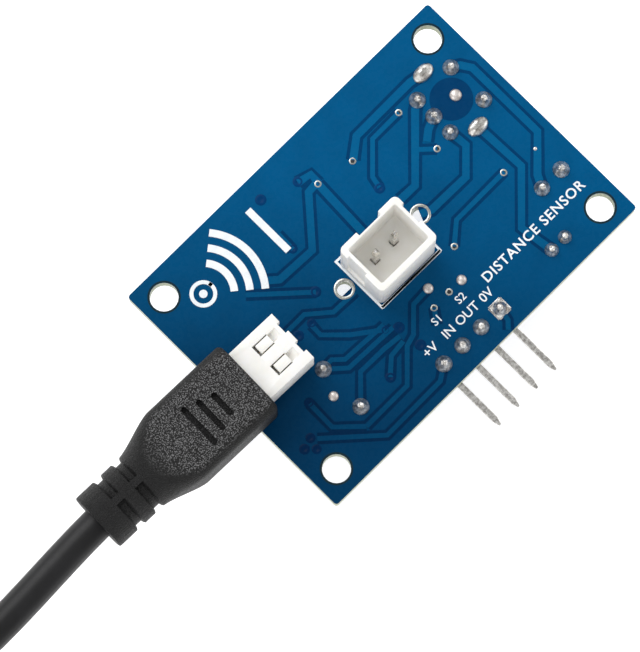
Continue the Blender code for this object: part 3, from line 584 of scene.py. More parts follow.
LOWER_RUNS = [
    [(-1.22, -0.2), (-1.22, 3.0), (-3.6, 5.4), (-3.6, 6.6)],
    [(1.28, -0.2), (1.28, 2.2), (2.6, 3.5), (6.6, 3.5), (8.7, 1.5)],
    [(-3.54, -11.86), (-6.0, -9.4)],
    [(-1.0, -11.86), (-1.0, -2.6), (0.8, -0.8), (0.8, 5.6)],
    [(1.54, -11.86), (1.54, -4.4), (3.4, -2.5), (3.4, 5.6)],
    [(4.08, -11.86), (7.4, -8.6), (7.4, -5.0), (8.9, -3.5)],
    [(-8.1, -4.2), (-8.1, -2.0), (-14.2, 4.1), (-14.2, 4.8)],
    [(12.98, 3.69), (11.0, 1.7), (9.9, 1.5)],
    [(-12.11, -9.15), (-8.6, -12.6), (-5.6, -12.6), (-3.54, -11.86)],
]
LOWER_WIDTH = 0.5
lower_channels = strips(LOWER_RUNS, 0.0, LOWER_WIDTH + 2 * CHANNEL_WIDTH, CHANNEL_RISE, channel_finish)
lower_tracks = strips(LOWER_RUNS, 0.0, LOWER_WIDTH, 2 * TRACK_RISE, track_finish)
make_piece("lower_track_channels", lower_channels, [channel_finish], "board")
make_piece("lower_tracks", lower_tracks, [track_finish], "board")

# ---------------------------------------------------------------------------------------------------
# Plated rings and vias: round lands of tinned copper. The two large rings take a transducer that is
# soldered straight to the board, small rings are open vias, and the rest are vias closed by the mask.


def stamp_tree():
    """Sets a template on every point, each turned and sized a little differently."""
    tree, start, end = growing_tree("stamps", (
        ("Template", "Object", None), ("Turn", "Float", 0.0), ("Size Spread", "Float", 0.0),
        ("Seed", "Int", 1), ("Material", "Material", None),
    ))
    given = start.outputs
    shape = add_node(tree, "GeometryNodeObjectInfo", {"Object": given["Template"]})
    spin = add_node(tree, "FunctionNodeRandomValue", {3: given["Turn"], "Seed": given["Seed"]})
    smallest = add_node(tree, "ShaderNodeMath", {0: 1.0, 1: given["Size Spread"]}, operation="SUBTRACT")
    largest = add_node(tree, "ShaderNodeMath", {0: 1.0, 1: given["Size Spread"]})
    size = add_node(tree, "FunctionNodeRandomValue", {
        2: smallest.outputs[0], 3: largest.outputs[0], "Seed": given["Seed"],
    })
    upright = add_node(tree, "ShaderNodeCombineXYZ", {"Z": spin.outputs[1]})
    place = add_node(tree, "GeometryNodeInstanceOnPoints", {
        "Points": given["Geometry"], "Instance": shape.outputs["Geometry"],
        "Rotation": upright.outputs[0], "Scale": size.outputs[1],
    })
    send_out(tree, place.outputs[0], start, end)
    return tree


STAMPS = stamp_tree()


def stamps(template, points, material, turn=0.0, spread=0.0, seed=1):
    """A bmesh with a copy of a template bmesh on every point."""
    shape = bpy.data.meshes.new("template")
    template.to_mesh(shape)
    template.free()
    pattern = object_of("template", shape)
    dots = bpy.data.meshes.new("points")
    dots.from_pydata(list(points), [], [])
    values = {"Template": pattern, "Turn": turn, "Size Spread": spread, "Seed": seed, "Material": material}
    bm = grown(object_of("points", dots), STAMPS, values)
    bpy.data.objects.remove(pattern)
    return bm


def moved(bm, vec=(0, 0, 0), turn=0.0, axis="Z"):
    """The same bmesh turned about an axis in degrees and then moved."""
    matrix = Matrix.Translation(vec) @ Matrix.Rotation(math.radians(turn), 4, axis)
    bmesh.ops.transform(bm, matrix=matrix, verts=bm.verts)
    return bm


def on_top(points):
    """Places on the board's solder side."""
    return [(x, y, BOARD_TOP) for x, y in points]


def turned(profile, segments=32, matrix=Matrix.Identity(4)):
    """A solid turned about Z from (radius, height) pairs. One that stays clear of the axis is a ring."""
    bm = bmesh.new()
    rings = []
    for radius, height in profile:
        if radius == 0.0:
            rings.append([bm.verts.new(matrix @ Vector((0, 0, height)))])
            continue
        ring = []
        for k in range(segments):
            a = 2 * math.pi * k / segments
            ring.append(bm.verts.new(matrix @ Vector((radius * math.cos(a), radius * math.sin(a), height))))
        rings.append(ring)
    pairs = list(zip(rings, rings[1:]))
    if profile[0][0] > 0.0:
        pairs.append((rings[-1], rings[0]))
    for first, second in pairs:
        for k in range(segments):
            j = (k + 1) % segments
            corners = [first[k % len(first)], first[j % len(first)]]
            corners += [second[j % len(second)], second[k % len(second)]]
            bm.faces.new(list(dict.fromkeys(corners)))
    bmesh.ops.recalc_face_normals(bm, faces=bm.faces)
    return bm


tinned_finish = coating(
    "tinned_copper", tone(205, 205, 198), tone(150, 150, 145), 0.5, 0.12, (0.22, 0.42), 0.01, metal=1.0
)
tented_finish = mask_finish("mask_over_via", tone(3, 62, 112), tone(2, 44, 88))
# Near-black painted shade for the open vias' bores.
bore_shade_finish = coating("painted_bore_shade", tone(14, 20, 26), tone(24, 34, 44), 0.2, 0.1, (0.4, 0.6), 0.004)

ANY_TURN = 6.28  # radians: the copies may face any way round
PAD_RINGS = [(-5.14, 0.05), (5.21, 0.05)]
RING = [(1.04, -0.02), (1.03, 0.03), (0.98, 0.06), (0.80, 0.06), (0.745, 0.03), (0.74, -0.2)]
rings = stamps(turned(RING, 40), on_top(PAD_RINGS), tinned_finish)
lower_ring = [(radius, -height) for radius, height in RING]
lower = stamps(turned(lower_ring, 40), [(x, y, 0.0) for x, y in PAD_RINGS], tinned_finish)
make_piece("transducer_pad_rings", joined([rings, lower]), [tinned_finish], "board")

CORNERS = [(sx * 18.0, sy * 11.75) for sx in (-1, 1) for sy in (-1, 1)]
collar = turned([(1.62, -0.01), (1.6, 0.012), (1.42, 0.012), (1.405, -0.1)], 48)
shaded_margin = coating(
    "shaded_margin", tone(22, 48, 54), tone(12, 32, 40), 0.4, 0.08, (0.5, 0.7), 0.006, shine=0.1
)
collars = stamps(collar, on_top(CORNERS), shaded_margin)
make_piece("corner_hole_margins", collars, [shaded_margin], "board")

OPEN_VIAS = [
    (5.3, -4.5), (1.79, -7.27), (-0.35, -7.36), (0.32, 9.15), (10.82, 8.6), (10.94, 3.45), (13.82, -2.75),
    (4.29, 8.38),
]
via = turned([(0.36, -0.02), (0.35, 0.035), (0.31, 0.05), (0.225, 0.05), (0.2, 0.03), (0.2, -0.02)], 20)
vias = stamps(via, on_top(OPEN_VIAS), tinned_finish)
make_piece("open_vias", vias, [tinned_finish], "board")
# Painted shade: a flat near-black disc in each open via's ring stands in for the shade down its bore.
bore = turned([(0.0, -0.02), (0.24, -0.02), (0.24, 0.012), (0.0, 0.012)], 16)
bore_shades = stamps(bore, on_top(OPEN_VIAS), bore_shade_finish)
make_piece("via_bores", bore_shades, [bore_shade_finish], "board")

CLOSED_VIAS = [
    (-4.7, 11.94), (-0.88, 10.66), (4.26, 4.65), (-7.32, 1.82), (-11.5, -0.07), (-9.74, -0.11),
    (-5.18, -5.58), (-4.1, -6.31), (-3.83, -8.97), (-8.08, -9.16), (-15.36, -5.42), (-5.89, 6.35),
    (-17.67, -7.9), (-18.84, -8.26), (-18.02, -9.08),
]
DISH = [(0.0, -0.02), (0.52, -0.02), (0.5, 0.02), (0.36, 0.05), (0.26, 0.045), (0.16, 0.01), (0.0, 0.004)]
closed = stamps(turned(DISH, 24), on_top(CLOSED_VIAS), tented_finish, ANY_TURN, 0.12, 3)
make_piece("closed_vias", closed, [tented_finish], "board")

# ---------------------------------------------------------------------------------------------------
# Solder joints: lead-free solder drawn up round each cut lead, bright with a grainy skin and scattered
# duller patches of brown flux. They are made by hand iron on this side, so no two are alike.


def solder_template(radius, height, lead, seed):
    """A soldered lead end: a hollow-sided fillet, a shoulder and the cut lead, all a little uneven."""
    profile = [
        (0.0, -0.05), (radius, -0.05), (radius, 0.04), (radius * 0.93, 0.16), (radius * 0.8, 0.3),
        (radius * 0.62, height * 0.55), (radius * 0.45, height * 0.74), (lead + 0.06, height * 0.86),
        (lead, height * 0.9), (lead, height * 0.97), (lead * 0.75, height), (0.0, height),
    ]
    bm = turned(profile, 28)
    wobble = random.Random(seed)
    lobes = []
    for _ in range(3):
        phase = wobble.uniform(0, ANY_TURN)
        lobes.append((phase, wobble.randint(2, 4), wobble.uniform(0.02, 0.06)))
    for v in bm.verts:
        out = math.hypot(v.co.x, v.co.y)
        if v.co.z < 0.05 or out < 0.01:
            continue
        a = math.atan2(v.co.y, v.co.x)
        v.co.z *= 1 + sum(s * math.sin(n * a + p) for p, n, s in lobes)
    return bm


solder = coating(
    "solder", tone(246, 244, 240), tone(138, 132, 126), 0.45, 0.16, (0.26, 0.46), 0.03,
    metal=1.0, contrast=0.8,
)
LARGE_JOINTS = [
    (-3.54, -11.86), (-1.0, -11.86), (1.54, -11.86), (12.98, 8.19), (12.98, 5.94), (12.98, 3.69),
    (17.58, 8.19), (17.58, 3.69), (17.97, -6.46), (15.35, -6.46), (-12.11, -4.05), (-12.11, -9.15),
]
SMALL_JOINTS = [(13.5, -11.37), (11.7, -11.37)]
HEADER_JOINTS = [(-1.22, -0.2, 0.0), (1.28, -0.2, 0.0)]
JOINT_SPREAD = 0.03
joint_parts = []
for seed in range(4):
    large = solder_template(0.82, 1.02, 0.26, seed)
    joint_parts.append(stamps(large, on_top(LARGE_JOINTS[seed::4]), solder, ANY_TURN, JOINT_SPREAD, seed))
small = solder_template(0.68, 0.95, 0.24, 9)
joint_parts.append(stamps(small, on_top(SMALL_JOINTS), solder, ANY_TURN, JOINT_SPREAD, 5))
under = solder_template(0.8, 0.85, 0.26, 11)
bmesh.ops.scale(under, verts=under.verts, vec=(1, 1, -1))
joint_parts.append(stamps(under, HEADER_JOINTS, solder, ANY_TURN, JOINT_SPREAD, 7))
make_piece("solder_joints", joined(joint_parts), [solder], "board", sharp=50)

# The last signal joint stands on a square pad, and the can's two lugs on long pads.
SQUARE_PAD = (4.08, -11.86)
LUG_JOINTS = [(15.28, 9.69), (15.28, 2.19)]
square = bmesh.new()
bmesh.ops.create_cube(square, size=1.0, matrix=Matrix.Diagonal((1.72, 1.72, 0.3, 1)))
bmesh.ops.bevel(square, geom=square.edges[:], offset=0.13, segments=3, affect="EDGES")
lug_parts = [moved(square, (*SQUARE_PAD, BOARD_TOP + 0.02))]
lug_parts.append(moved(solder_template(0.74, 0.98, 0.26, 21), (*SQUARE_PAD, BOARD_TOP + 0.08)))
for x, y in LUG_JOINTS:
    lug = bmesh.new()
    lump = Matrix.Diagonal((1.18, 0.78, 0.52, 1))
    bmesh.ops.create_icosphere(lug, subdivisions=4, radius=1.0, matrix=lump)
    wave = random.Random(int(y * 10))
    shift = [wave.uniform(0, ANY_TURN) for _ in range(3)]
    for v in lug.verts:
        v.co.z *= 1 + 0.10 * math.sin(5 * v.co.x + shift[0]) + 0.08 * math.sin(7 * v.co.y + shift[1])
    lug_parts.append(moved(lug, (x, y, BOARD_TOP + 0.02)))
make_piece("square_and_lug_joints", joined(lug_parts), [solder], "board", sharp=50)

DOMES = [
    (-13.26, -6.6, 0.5), (0.6, -5.62, 0.52), (3.47, -7.29, 0.52), (15.97, 5.93, 0.62), (17.66, -3.25, 0.2),
]
DOME_FLATNESS = 0.62
dome_finish = coating(
    "solder_dome", tone(228, 222, 218), tone(186, 172, 166), 0.4, 0.2, (0.3, 0.5), 0.02, metal=0.85
)
dome_parts = []
for x, y, radius in DOMES:
    rounding = [math.pi / 2 * k / 8 for k in range(8)]
    arc = [(radius * math.cos(a), DOME_FLATNESS * radius * math.sin(a)) for a in rounding]
    dome = turned([(0.0, -0.03), (radius, -0.03)] + arc + [(0.0, DOME_FLATNESS * radius)], 28)
    dome_parts.append(moved(dome, (x, y, BOARD_TOP)))
make_piece("solder_domes", joined(dome_parts), [dome_finish], "board", sharp=60)

# A painted shadow: a disc in the darker mask-over-laminate colour on the board's top over the coil.
shadow_disc = turned([(0.0, -0.01), (2.15, -0.01), (2.13, 0.012), (0.0, 0.012)], 40)
moved(shadow_disc, (15.4, 5.94, BOARD_TOP))
make_piece("coil_keepout", shadow_disc, [channel_finish], "board")

# ---------------------------------------------------------------------------------------------------
# White print: screen-printed ink. An outline marks the header's place, short generic labels name the four
# signals, and a pictogram of spreading sound waves fills the free corner.

ink = coating("white_ink", tone(246, 250, 253), tone(228, 233, 238), 0.7, 0.15, (0.5, 0.7), 0.012)
PRINT_RISE = 0.05
PRINT_Z = BOARD_TOP + 0.04
CAPITAL_SHARE = 0.7  # a capital letter's height over the size of its type
OUTLINE = [(-3.85, -3.8), (4.08, -3.8), (4.08, 2.5), (-3.85, 2.5), (-3.85, -3.8), (4.08, -3.8)]


def arc_run(centre, radius, first, last, steps):
    """Points along an arc, angles in degrees."""
    turns = [math.radians(first + (last - first) * k / steps) for k in range(steps + 1)]
    return [(centre[0] + radius * math.cos(a), centre[1] + radius * math.sin(a)) for a in turns]


print_parts = [strips([OUTLINE], PRINT_Z, 0.36, PRINT_RISE, ink)]
SOURCE = (-15.1, 9.3)
waves = [arc_run(SOURCE, radius, -40, 40, 20) for radius in (3.0, 4.5, 6.0)]
waves.append([(-6.3, 6.5), (-6.3, 12.1)])
print_parts.append(strips(waves, PRINT_Z, 0.75, PRINT_RISE, ink))
print_parts.append(strips([arc_run(SOURCE, 1.15, 0, 378, 30)], PRINT_Z, 0.4, PRINT_RISE, ink))
spot = turned([(0.0, -0.01), (0.42, -0.01), (0.4, 0.06), (0.0, 0.06)], 24)
print_parts.append(moved(spot, (*SOURCE, BOARD_TOP)))


def lettering(words, middle, height, thicken=0.0, spacing=1.0):
    """Raised ink letters with their middle at a place on the board."""
    curve = bpy.data.curves.new("words", "FONT")
    curve.body = words
    curve.size = height / CAPITAL_SHARE
    curve.align_x = "CENTER"
    curve.align_y = "CENTER"
    curve.space_character = spacing
    curve.offset = thicken
    curve.extrude = PRINT_RISE / 2
    curve.resolution_u = 3
    bm = worked_out(object_of("words", curve))
    bmesh.ops.remove_doubles(bm, verts=bm.verts, dist=0.0005)
    return moved(bm, (*middle, PRINT_Z))


print_parts.append(lettering("DISTANCE SENSOR", (11.75, -8.85), 1.0, 0.02, 1.12))
for words, x in (("+V", -3.5), ("IN", -1.0), ("OUT", 1.5), ("0V", 4.1)):
    print_parts.append(lettering(words, (x, -10.02), 0.92, 0.01))
for words, middle in (("S1", (-0.98, -8.4)), ("S2", (2.14, -8.5))):
    print_parts.append(lettering(words, middle, 0.8, 0.01))
make_piece("white_print", joined(print_parts), [ink], "board", sharp=30)

# ---------------------------------------------------------------------------------------------------
# The probe's header: an open box of white nylon, moulded in one piece, with a wall that is set back
# between its ends, a shallow notch outside each short wall and softly rounded edges.

HEADER_AT = (0.03, -0.65)
HEADER_LENGTH = 7.6
HEADER_WIDTH = 5.85
HEADER_BASE = BOARD_TOP + 0.1
HEADER_TOP = HEADER_BASE + 7.0
HEADER_FLOOR = HEADER_BASE + 1.4
HEADER_WALL = 0.65
HEADER_PIN_SHIFT = 0.45
HEADER_PIN_PITCH = 2.5
PIN_HOLE_HALF = 0.36
SET_BACK = 0.42
NOTCH_DEPTH = 0.3
NOTCH_SILL = HEADER_BASE + 1.2

nylon = coating("white_nylon", tone(250, 249, 246), tone(243, 241, 234), 1.6, 0.25, (0.35, 0.5), 0.006)
nylon_shader = nylon.node_tree.nodes["Principled BSDF"]
nylon_shader.inputs["Subsurface Weight"].default_value = 0.15
nylon_shader.inputs["Subsurface Radius"].default_value = (1.0, 0.85, 0.7)
nylon_shader.inputs["Subsurface Scale"].default_value = 0.0006


def block(low, high):
    """A closed box between two corners."""
    bm = bmesh.new()
    middle = (Vector(high) + Vector(low)) / 2
    size = Vector(high) - Vector(low)
    bmesh.ops.create_cube(bm, size=1.0, matrix=Matrix.Translation(middle) @ Matrix.Diagonal((*size, 1.0)))
    return bm


def drawn_out(corners, vec):
    """A solid made by drawing a flat outline along a vector."""
    bm = bmesh.new()
    face = bm.faces.new([bm.verts.new(corner) for corner in corners])
    copied = bmesh.ops.extrude_face_region(bm, geom=[face])["geom"]
    far_verts = [item for item in copied if isinstance(item, bmesh.types.BMVert)]
    bmesh.ops.translate(bm, verts=far_verts, vec=vec)
    bmesh.ops.recalc_face_normals(bm, faces=bm.faces)
    return bm


def raised(outline, low, high):
    """A closed outline raised between two heights."""
    return drawn_out([(x, y, low) for x, y in outline], (0, 0, high - low))


def round_corners(length, width, radius, steps=6):
    """A rectangle's outline with round corners, centred on the origin."""
    points = []
    for sx, sy, start in ((1, 1, 0), (-1, 1, 90), (-1, -1, 180), (1, -1, 270)):
        for k in range(steps + 1):
            a = math.radians(start + 90 * k / steps)
            corner = (sx * (length / 2 - radius), sy * (width / 2 - radius))
            points.append((corner[0] + radius * math.cos(a), corner[1] + radius * math.sin(a)))
    return points


def carved(body, cuts=(), joins=(), edge=0.0, steps=2):
    """A solid with shapes joined on and cut away, its sharp edges then rounded."""
    holders = []

    def holder(bm):
        mesh = bpy.data.meshes.new("carving")
        bmesh.ops.recalc_face_normals(bm, faces=bm.faces)
        bm.to_mesh(mesh)
        bm.free()
        made = object_of("carving", mesh)
        holders.append(made)
        return made

    whole = holder(body)
    for operation, shapes in (("UNION", joins), ("DIFFERENCE", cuts)):
        for shape in shapes:
            step = whole.modifiers.new("step", "BOOLEAN")
            step.operation = operation
            step.solver = "EXACT"
            step.use_self = True
            step.object = holder(shape)
    if edge:
        soften = whole.modifiers.new("soften", "BEVEL")
        soften.width = edge
        soften.segments = steps
        soften.limit_method = "ANGLE"
        soften.angle_limit = math.radians(40)
        soften.use_clamp_overlap = True
    bm = worked_out(whole)
    for used in holders[1:]:
        bpy.data.objects.remove(used)
    return bm


half_x = HEADER_LENGTH / 2
half_y = HEADER_WIDTH / 2
box_outline = round_corners(HEADER_LENGTH, HEADER_WIDTH, 0.55)
cavity = round_corners(HEADER_LENGTH - 2 * HEADER_WALL, HEADER_WIDTH - 2 * HEADER_WALL, 0.25)
cuts = [raised(cavity, HEADER_FLOOR, HEADER_TOP + 1)]
cuts.append(block((-1.4, half_y - SET_BACK, HEADER_FLOOR), (1.5, half_y + 1, HEADER_TOP + 1)))
for side in (-1, 1):
    low, high = sorted((side * (half_x - NOTCH_DEPTH), side * (half_x + 1)))
    cuts.append(block((low, -0.6, NOTCH_SILL), (high, 1.75, HEADER_TOP + 1)))
for side in (-1, 1):
    x = side * HEADER_PIN_PITCH / 2
    hole = (x - PIN_HOLE_HALF, HEADER_PIN_SHIFT - PIN_HOLE_HALF, HEADER_BASE - 1)
    cuts.append(block(hole, (x + PIN_HOLE_HALF, HEADER_PIN_SHIFT + PIN_HOLE_HALF, HEADER_FLOOR + 1)))
header = carved(raised(box_outline, HEADER_BASE, HEADER_TOP), cuts, edge=0.1, steps=3)
moved(header, (*HEADER_AT, 0))
make_piece("header_box", header, [nylon], "board", ["header_shell"], sharp=50)

# ---------------------------------------------------------------------------------------------------
# Header and signal pins: square brass wire, 0.64 mm, drawn, tinned and cut with tapered tips. The two
# header pins stand upright and the four signal pins are bent at a right angle through their plastic block.

PIN_HALF = 0.32
SIGNAL_X = 0.27
SIGNAL_Y = -11.86
SIGNAL_PITCH = 2.54
SIGNAL_DROP = 1.3
SIGNAL_TIP_Y = -19.65

pin_metal = coating(
    "tinned_pin", tone(244, 242, 238), tone(138, 134, 128), 0.35, 0.12, (0.16, 0.34), 0.012, metal=1.0
)


def skinned(bm, loops):
    """Closes a solid over loops of the same number of points, with a face on each end."""
    for first, second in zip(loops, loops[1:]):
        for k in range(len(first)):
            j = (k + 1) % len(first)
            bm.faces.new([first[k], first[j], second[j], second[k]])
    bm.faces.new(loops[0])
    bm.faces.new(loops[-1])
    bmesh.ops.recalc_face_normals(bm, faces=bm.faces)
    return bm


def square_wire(path, corner=0.07):
    """Square wire along a path in the YZ plane, given as (y, z, share of the full side)."""
    bm = bmesh.new()
    loops = []
    for k, (y, z, share) in enumerate(path):
        before = Vector(path[max(k - 1, 0)][:2])
        after = Vector(path[min(k + 1, len(path) - 1)][:2])
        along = (after - before).normalized()
        across = Vector((-along.y, along.x))
        side = 2 * PIN_HALF * share
        outline = round_corners(side, side, corner * share, 1)
        loops.append([bm.verts.new((a, y + across.x * b, z + across.y * b)) for a, b in outline])
    return skinned(bm, loops)


upright = square_wire([(0, -1.6, 0.5), (0, -1.2, 1), (0, 6.9, 1), (0, 7.45, 0.8), (0, 7.7, 0.45)])
header_y = HEADER_AT[1] + HEADER_PIN_SHIFT
header_places = [(HEADER_AT[0] + side * HEADER_PIN_PITCH / 2, header_y, 0) for side in (-1, 1)]
header_pins = stamps(upright, header_places, pin_metal)
header_nodes = ["header_pin_1", "header_pin_2"]
make_piece("header_pins", header_pins, [pin_metal], "board", header_nodes)

ELBOW = 0.5
CELL_LENGTH = 2.5
elbow = []
for k in range(7):
    a = math.pi / 2 * k / 6
    elbow.append((-ELBOW + ELBOW * math.cos(a), -SIGNAL_DROP + ELBOW - ELBOW * math.sin(a)))
tip = SIGNAL_TIP_Y - SIGNAL_Y
bent = [(0, 2.5, 0.6), (0, 2.3, 1)] + [(y, z, 1) for y, z in elbow]
bent += [(tip + 0.75, -SIGNAL_DROP, 1), (tip + 0.2, -SIGNAL_DROP, 0.55), (tip, -SIGNAL_DROP, 0.38)]
signal_places = [(SIGNAL_X + (k - 1.5) * SIGNAL_PITCH, SIGNAL_Y, 0) for k in range(4)]
signal_pins = stamps(square_wire(bent), signal_places, pin_metal)
signal_nodes = [f"signal_pin_{k}" for k in (1, 2, 3, 4)]
make_piece("signal_pins", signal_pins, [pin_metal], "board", signal_nodes)

black_plastic = coating(
    "black_plastic", tone(24, 24, 25), tone(34, 34, 35), 1.0, 0.08, (0.4, 0.6), 0.012, shine=0.35
)
cell = round_corners(CELL_LENGTH, 2.38, 0.45, 1)
cell_solid = raised(cell, 0.0, 1.58)
moved(cell_solid, (0, 0, 0), 90, "X")
moved(cell_solid, (0, SIGNAL_Y - 0.43, -1.32))
cell_places = [(SIGNAL_X + (k - 1.5) * CELL_LENGTH, 0, 0) for k in range(4)]
cells = stamps(cell_solid, cell_places, black_plastic)
make_piece("pin_block", cells, [black_plastic], "board", ["signal_block"])

# ---------------------------------------------------------------------------------------------------
# The pulse transformer under the board: a drawn nickel-plated can with rolled corners and a round hole
# for the trimming tool, over a winding on a bobbin with five pins. Its two lugs are soldered on top.

COIL_AT = (15.28, 5.94)
CAN_SIDE = 7.8
CAN_LOW = -10.8
LUG_Y = 3.75
LUG_HALF = 0.15
TRIM_HOLE = 2.0
nickel = coating(
    "nickel_can", tone(196, 195, 190), tone(168, 166, 160), 1.8, 0.3, (0.18, 0.36), 0.01, metal=1.0
)
ferrite = coating("core_ferrite", tone(62, 62, 66), tone(44, 44, 48), 0.5, 0.08, (0.5, 0.75), 0.02)
enamel = coating(
    "enamelled_wire", tone(168, 84, 40), tone(128, 58, 26), 0.4, 0.1, (0.2, 0.35), 0.006, metal=0.8
)
can_cuts = [raised(round_corners(CAN_SIDE - 0.6, CAN_SIDE - 0.6, 0.5), CAN_LOW + 0.3, 1.0)]
trim_profile = [(0.0, -1), (TRIM_HOLE, -1), (TRIM_HOLE, 1), (0.0, 1)]
can_cuts.append(turned([(radius, CAN_LOW + height) for radius, height in trim_profile], 40))
can = carved(raised(round_corners(CAN_SIDE, CAN_SIDE, 0.7), CAN_LOW, -0.3), can_cuts, edge=0.12, steps=3)
can_parts = [can]
for side in (-1, 1):
    y = side * LUG_Y
    can_parts.append(block((-0.5, y - LUG_HALF, -0.6), (0.5, y + LUG_HALF, BOARD_TOP + 0.75)))
can = joined(can_parts)
moved(can, (*COIL_AT, 0))
make_piece("transformer_can", can, [nickel], "board", ["coil_can"], sharp=40)

WINDING_RADIUS = 2.8
WINDING_LOW = -9.9
WINDING_PITCH = 0.3
WINDING_TURNS = 25
loop = []
for k in range(8):
    a = 2 * math.pi * k / 8
    loop.append((WINDING_RADIUS + 0.13 * math.cos(a), 0.15 * math.sin(a)))
turn_places = [(*COIL_AT, WINDING_LOW + WINDING_PITCH * k) for k in range(WINDING_TURNS)]
wire_turns = stamps(turned(loop, 36), turn_places, enamel, ANY_TURN, 0.01, 5)
bobbin = turned([(1.8, -2.2), (2.68, -2.2), (2.68, -10.05), (1.8, -10.05)], 32)
moved(bobbin, (*COIL_AT, 0))
winding = joined([wire_turns, bobbin])
make_piece("winding_turns", winding, [enamel], "board", ["coil_winding"])
set_finish("coil_core", ferrite)
set_finish("coil_base", black_plastic)
for k in (1, 2, 3, 4, 5):
    set_finish(f"coil_pin_{k}", pin_metal)

# ---------------------------------------------------------------------------------------------------
# Two radial capacitors: a deep-drawn aluminium can in a shrunk dark vinyl sleeve with a pale stripe down
# its negative side, a scored vent in its end, a rolled neck and a rubber bung.

bare_aluminium = coating(
    "bare_aluminium", tone(210, 211, 212), tone(188, 189, 190), 0.8, 0.06, (0.25, 0.4), 0.01, metal=1.0
)
sleeve_vinyl = coating("sleeve_vinyl", tone(22, 26, 44), tone(30, 34, 54), 1.2, 0.2, (0.25, 0.4), 0.008)
sleeve_stripe = coating(
    "sleeve_stripe", tone(196, 198, 202), tone(180, 182, 188), 0.8, 0.2, (0.3, 0.45), 0.006
)
rubber = coating("black_rubber", tone(36, 35, 35), tone(48, 46, 45), 0.8, 0.1, (0.65, 0.85), 0.02)


def capacitor_can(place, radius, height):
    """A sleeved can, open above, with a rolled neck, a recessed end and a three-way vent score."""
    low = -0.3 - height
    neck = -1.9
    profile = [
        (0.0, low + 0.12), (radius - 0.75, low + 0.12), (radius - 0.62, low), (radius - 0.25, low),
        (radius, low + 0.28), (radius, neck - 0.55), (radius - 0.2, neck - 0.1), (radius - 0.2, neck + 0.1),
        (radius, neck + 0.5), (radius, -0.42), (radius - 0.12, -0.3), (radius - 0.3, -0.3),
        (radius - 0.3, neck - 0.7), (radius - 0.3, low + 0.8), (0.0, low + 0.8),
    ]
    scores = []
    for angle in (0, 60, 120):
        bar = block((-radius * 0.62, -0.06, low - 0.5), (radius * 0.62, 0.06, low + 0.2))
        scores.append(moved(bar, (0, 0, 0), angle))
    bm = carved(turned(profile, 48), scores)
    bm.faces.ensure_lookup_table()
    for face in bm.faces:
        middle = face.calc_center_median()
        out = math.hypot(middle.x, middle.y)
        if out < radius - 0.5 or out < radius - 0.24 and middle.z > neck - 1:
            face.material_index = 0
        elif middle.x > radius * 0.86:
            face.material_index = 2
        else:
            face.material_index = 1
    return moved(bm, (*place, 0))


CAN_FINISHES = [bare_aluminium, sleeve_vinyl, sleeve_stripe]
CAPACITORS = [
    ("reservoir_capacitor", "reservoir_cap", (16.66, -6.46), 3.15, 10.8),
    ("small_capacitor", "small_cap", (12.6, -11.37), 2.0, 6.8),
]
for piece_name, name, place, radius, height in CAPACITORS:
    can = capacitor_can(place, radius, height)
    make_piece(piece_name, can, CAN_FINISHES, "board", [f"{name}_can"], outward=False)
    set_finish(f"{name}_bung", rubber)
    for k in (1, 2):
        set_finish(f"{name}_lead_{k}", pin_metal)

# ---------------------------------------------------------------------------------------------------
# The crystal: a low pressed can with round ends, resistance-welded to a thin flanged base.

CRYSTAL_AT = (-12.11, -6.6)
base_plate = carved(raised(round_corners(4.7, 11.2, 2.3, 12), -0.75, -0.3), edge=0.08)
cover = carved(raised(round_corners(4.0, 10.5, 1.95, 12), -3.8, -0.7), edge=0.45, steps=4)
crystal = moved(joined([base_plate, cover]), (*CRYSTAL_AT, 0))
make_piece("crystal_cover", crystal, [nickel], "board", ["crystal_can"], sharp=50)
for k in (1, 2):
    set_finish(f"crystal_lead_{k}", pin_metal)

# ---------------------------------------------------------------------------------------------------
# Chips and small parts on the component side: black moulded bodies with tinned gull-wing legs, and small
# ceramic resistors and capacitors with tinned ends, all soldered flat to the board's underside.

epoxy = coating("moulded_epoxy", tone(40, 40, 42), tone(52, 52, 54), 0.6, 0.05, (0.5, 0.7), 0.012)
leg_metal = coating(
    "tinned_leg", tone(200, 200, 194), tone(160, 160, 154), 0.3, 0.08, (0.22, 0.38), 0.008, metal=1.0
)


def chip_body(length, width, height):
    """A moulded body with drafted sides and a shallow round mark at its first leg."""
    bm = block((-length / 2, -width / 2, -height - 0.15), (length / 2, width / 2, -0.15))
    middle = -height / 2 - 0.15
    for v in bm.verts:
        v.co.x *= 0.97
        v.co.y *= 0.94
    belt = block((-length / 2, -width / 2, middle - 0.08), (length / 2, width / 2, middle + 0.08))
    dot = turned([(0.0, -height - 1), (0.3, -height - 1), (0.3, -height - 0.09), (0.0, -height - 0.09)], 20)
    mark = moved(dot, (-length / 2 + 0.7, -width / 2 + 0.75, 0))
    cuts = [mark] if length > 4 else []
    return carved(bm, cuts, [belt], edge=0.05, steps=1)


def gull_leg(side, width, reach, height, wide=0.38):
    """One leg from the body's belt out and down to the board."""
    middle = -height / 2 - 0.15
    edge_y = width / 2 - 0.1
    thick = 0.09
    path = [
        (edge_y, middle), (edge_y + 0.28, middle), (edge_y + 0.42, middle + 0.12),
        (edge_y + 0.5, -0.16), (edge_y + 0.6, -0.05), (edge_y + reach, -0.05),
    ]
    outline = [(y, z - thick) for y, z in path] + [(y, z + thick * 0.3) for y, z in reversed(path)]
    return drawn_out([(-wide / 2, side * y, z) for y, z in outline], (wide, 0, 0))


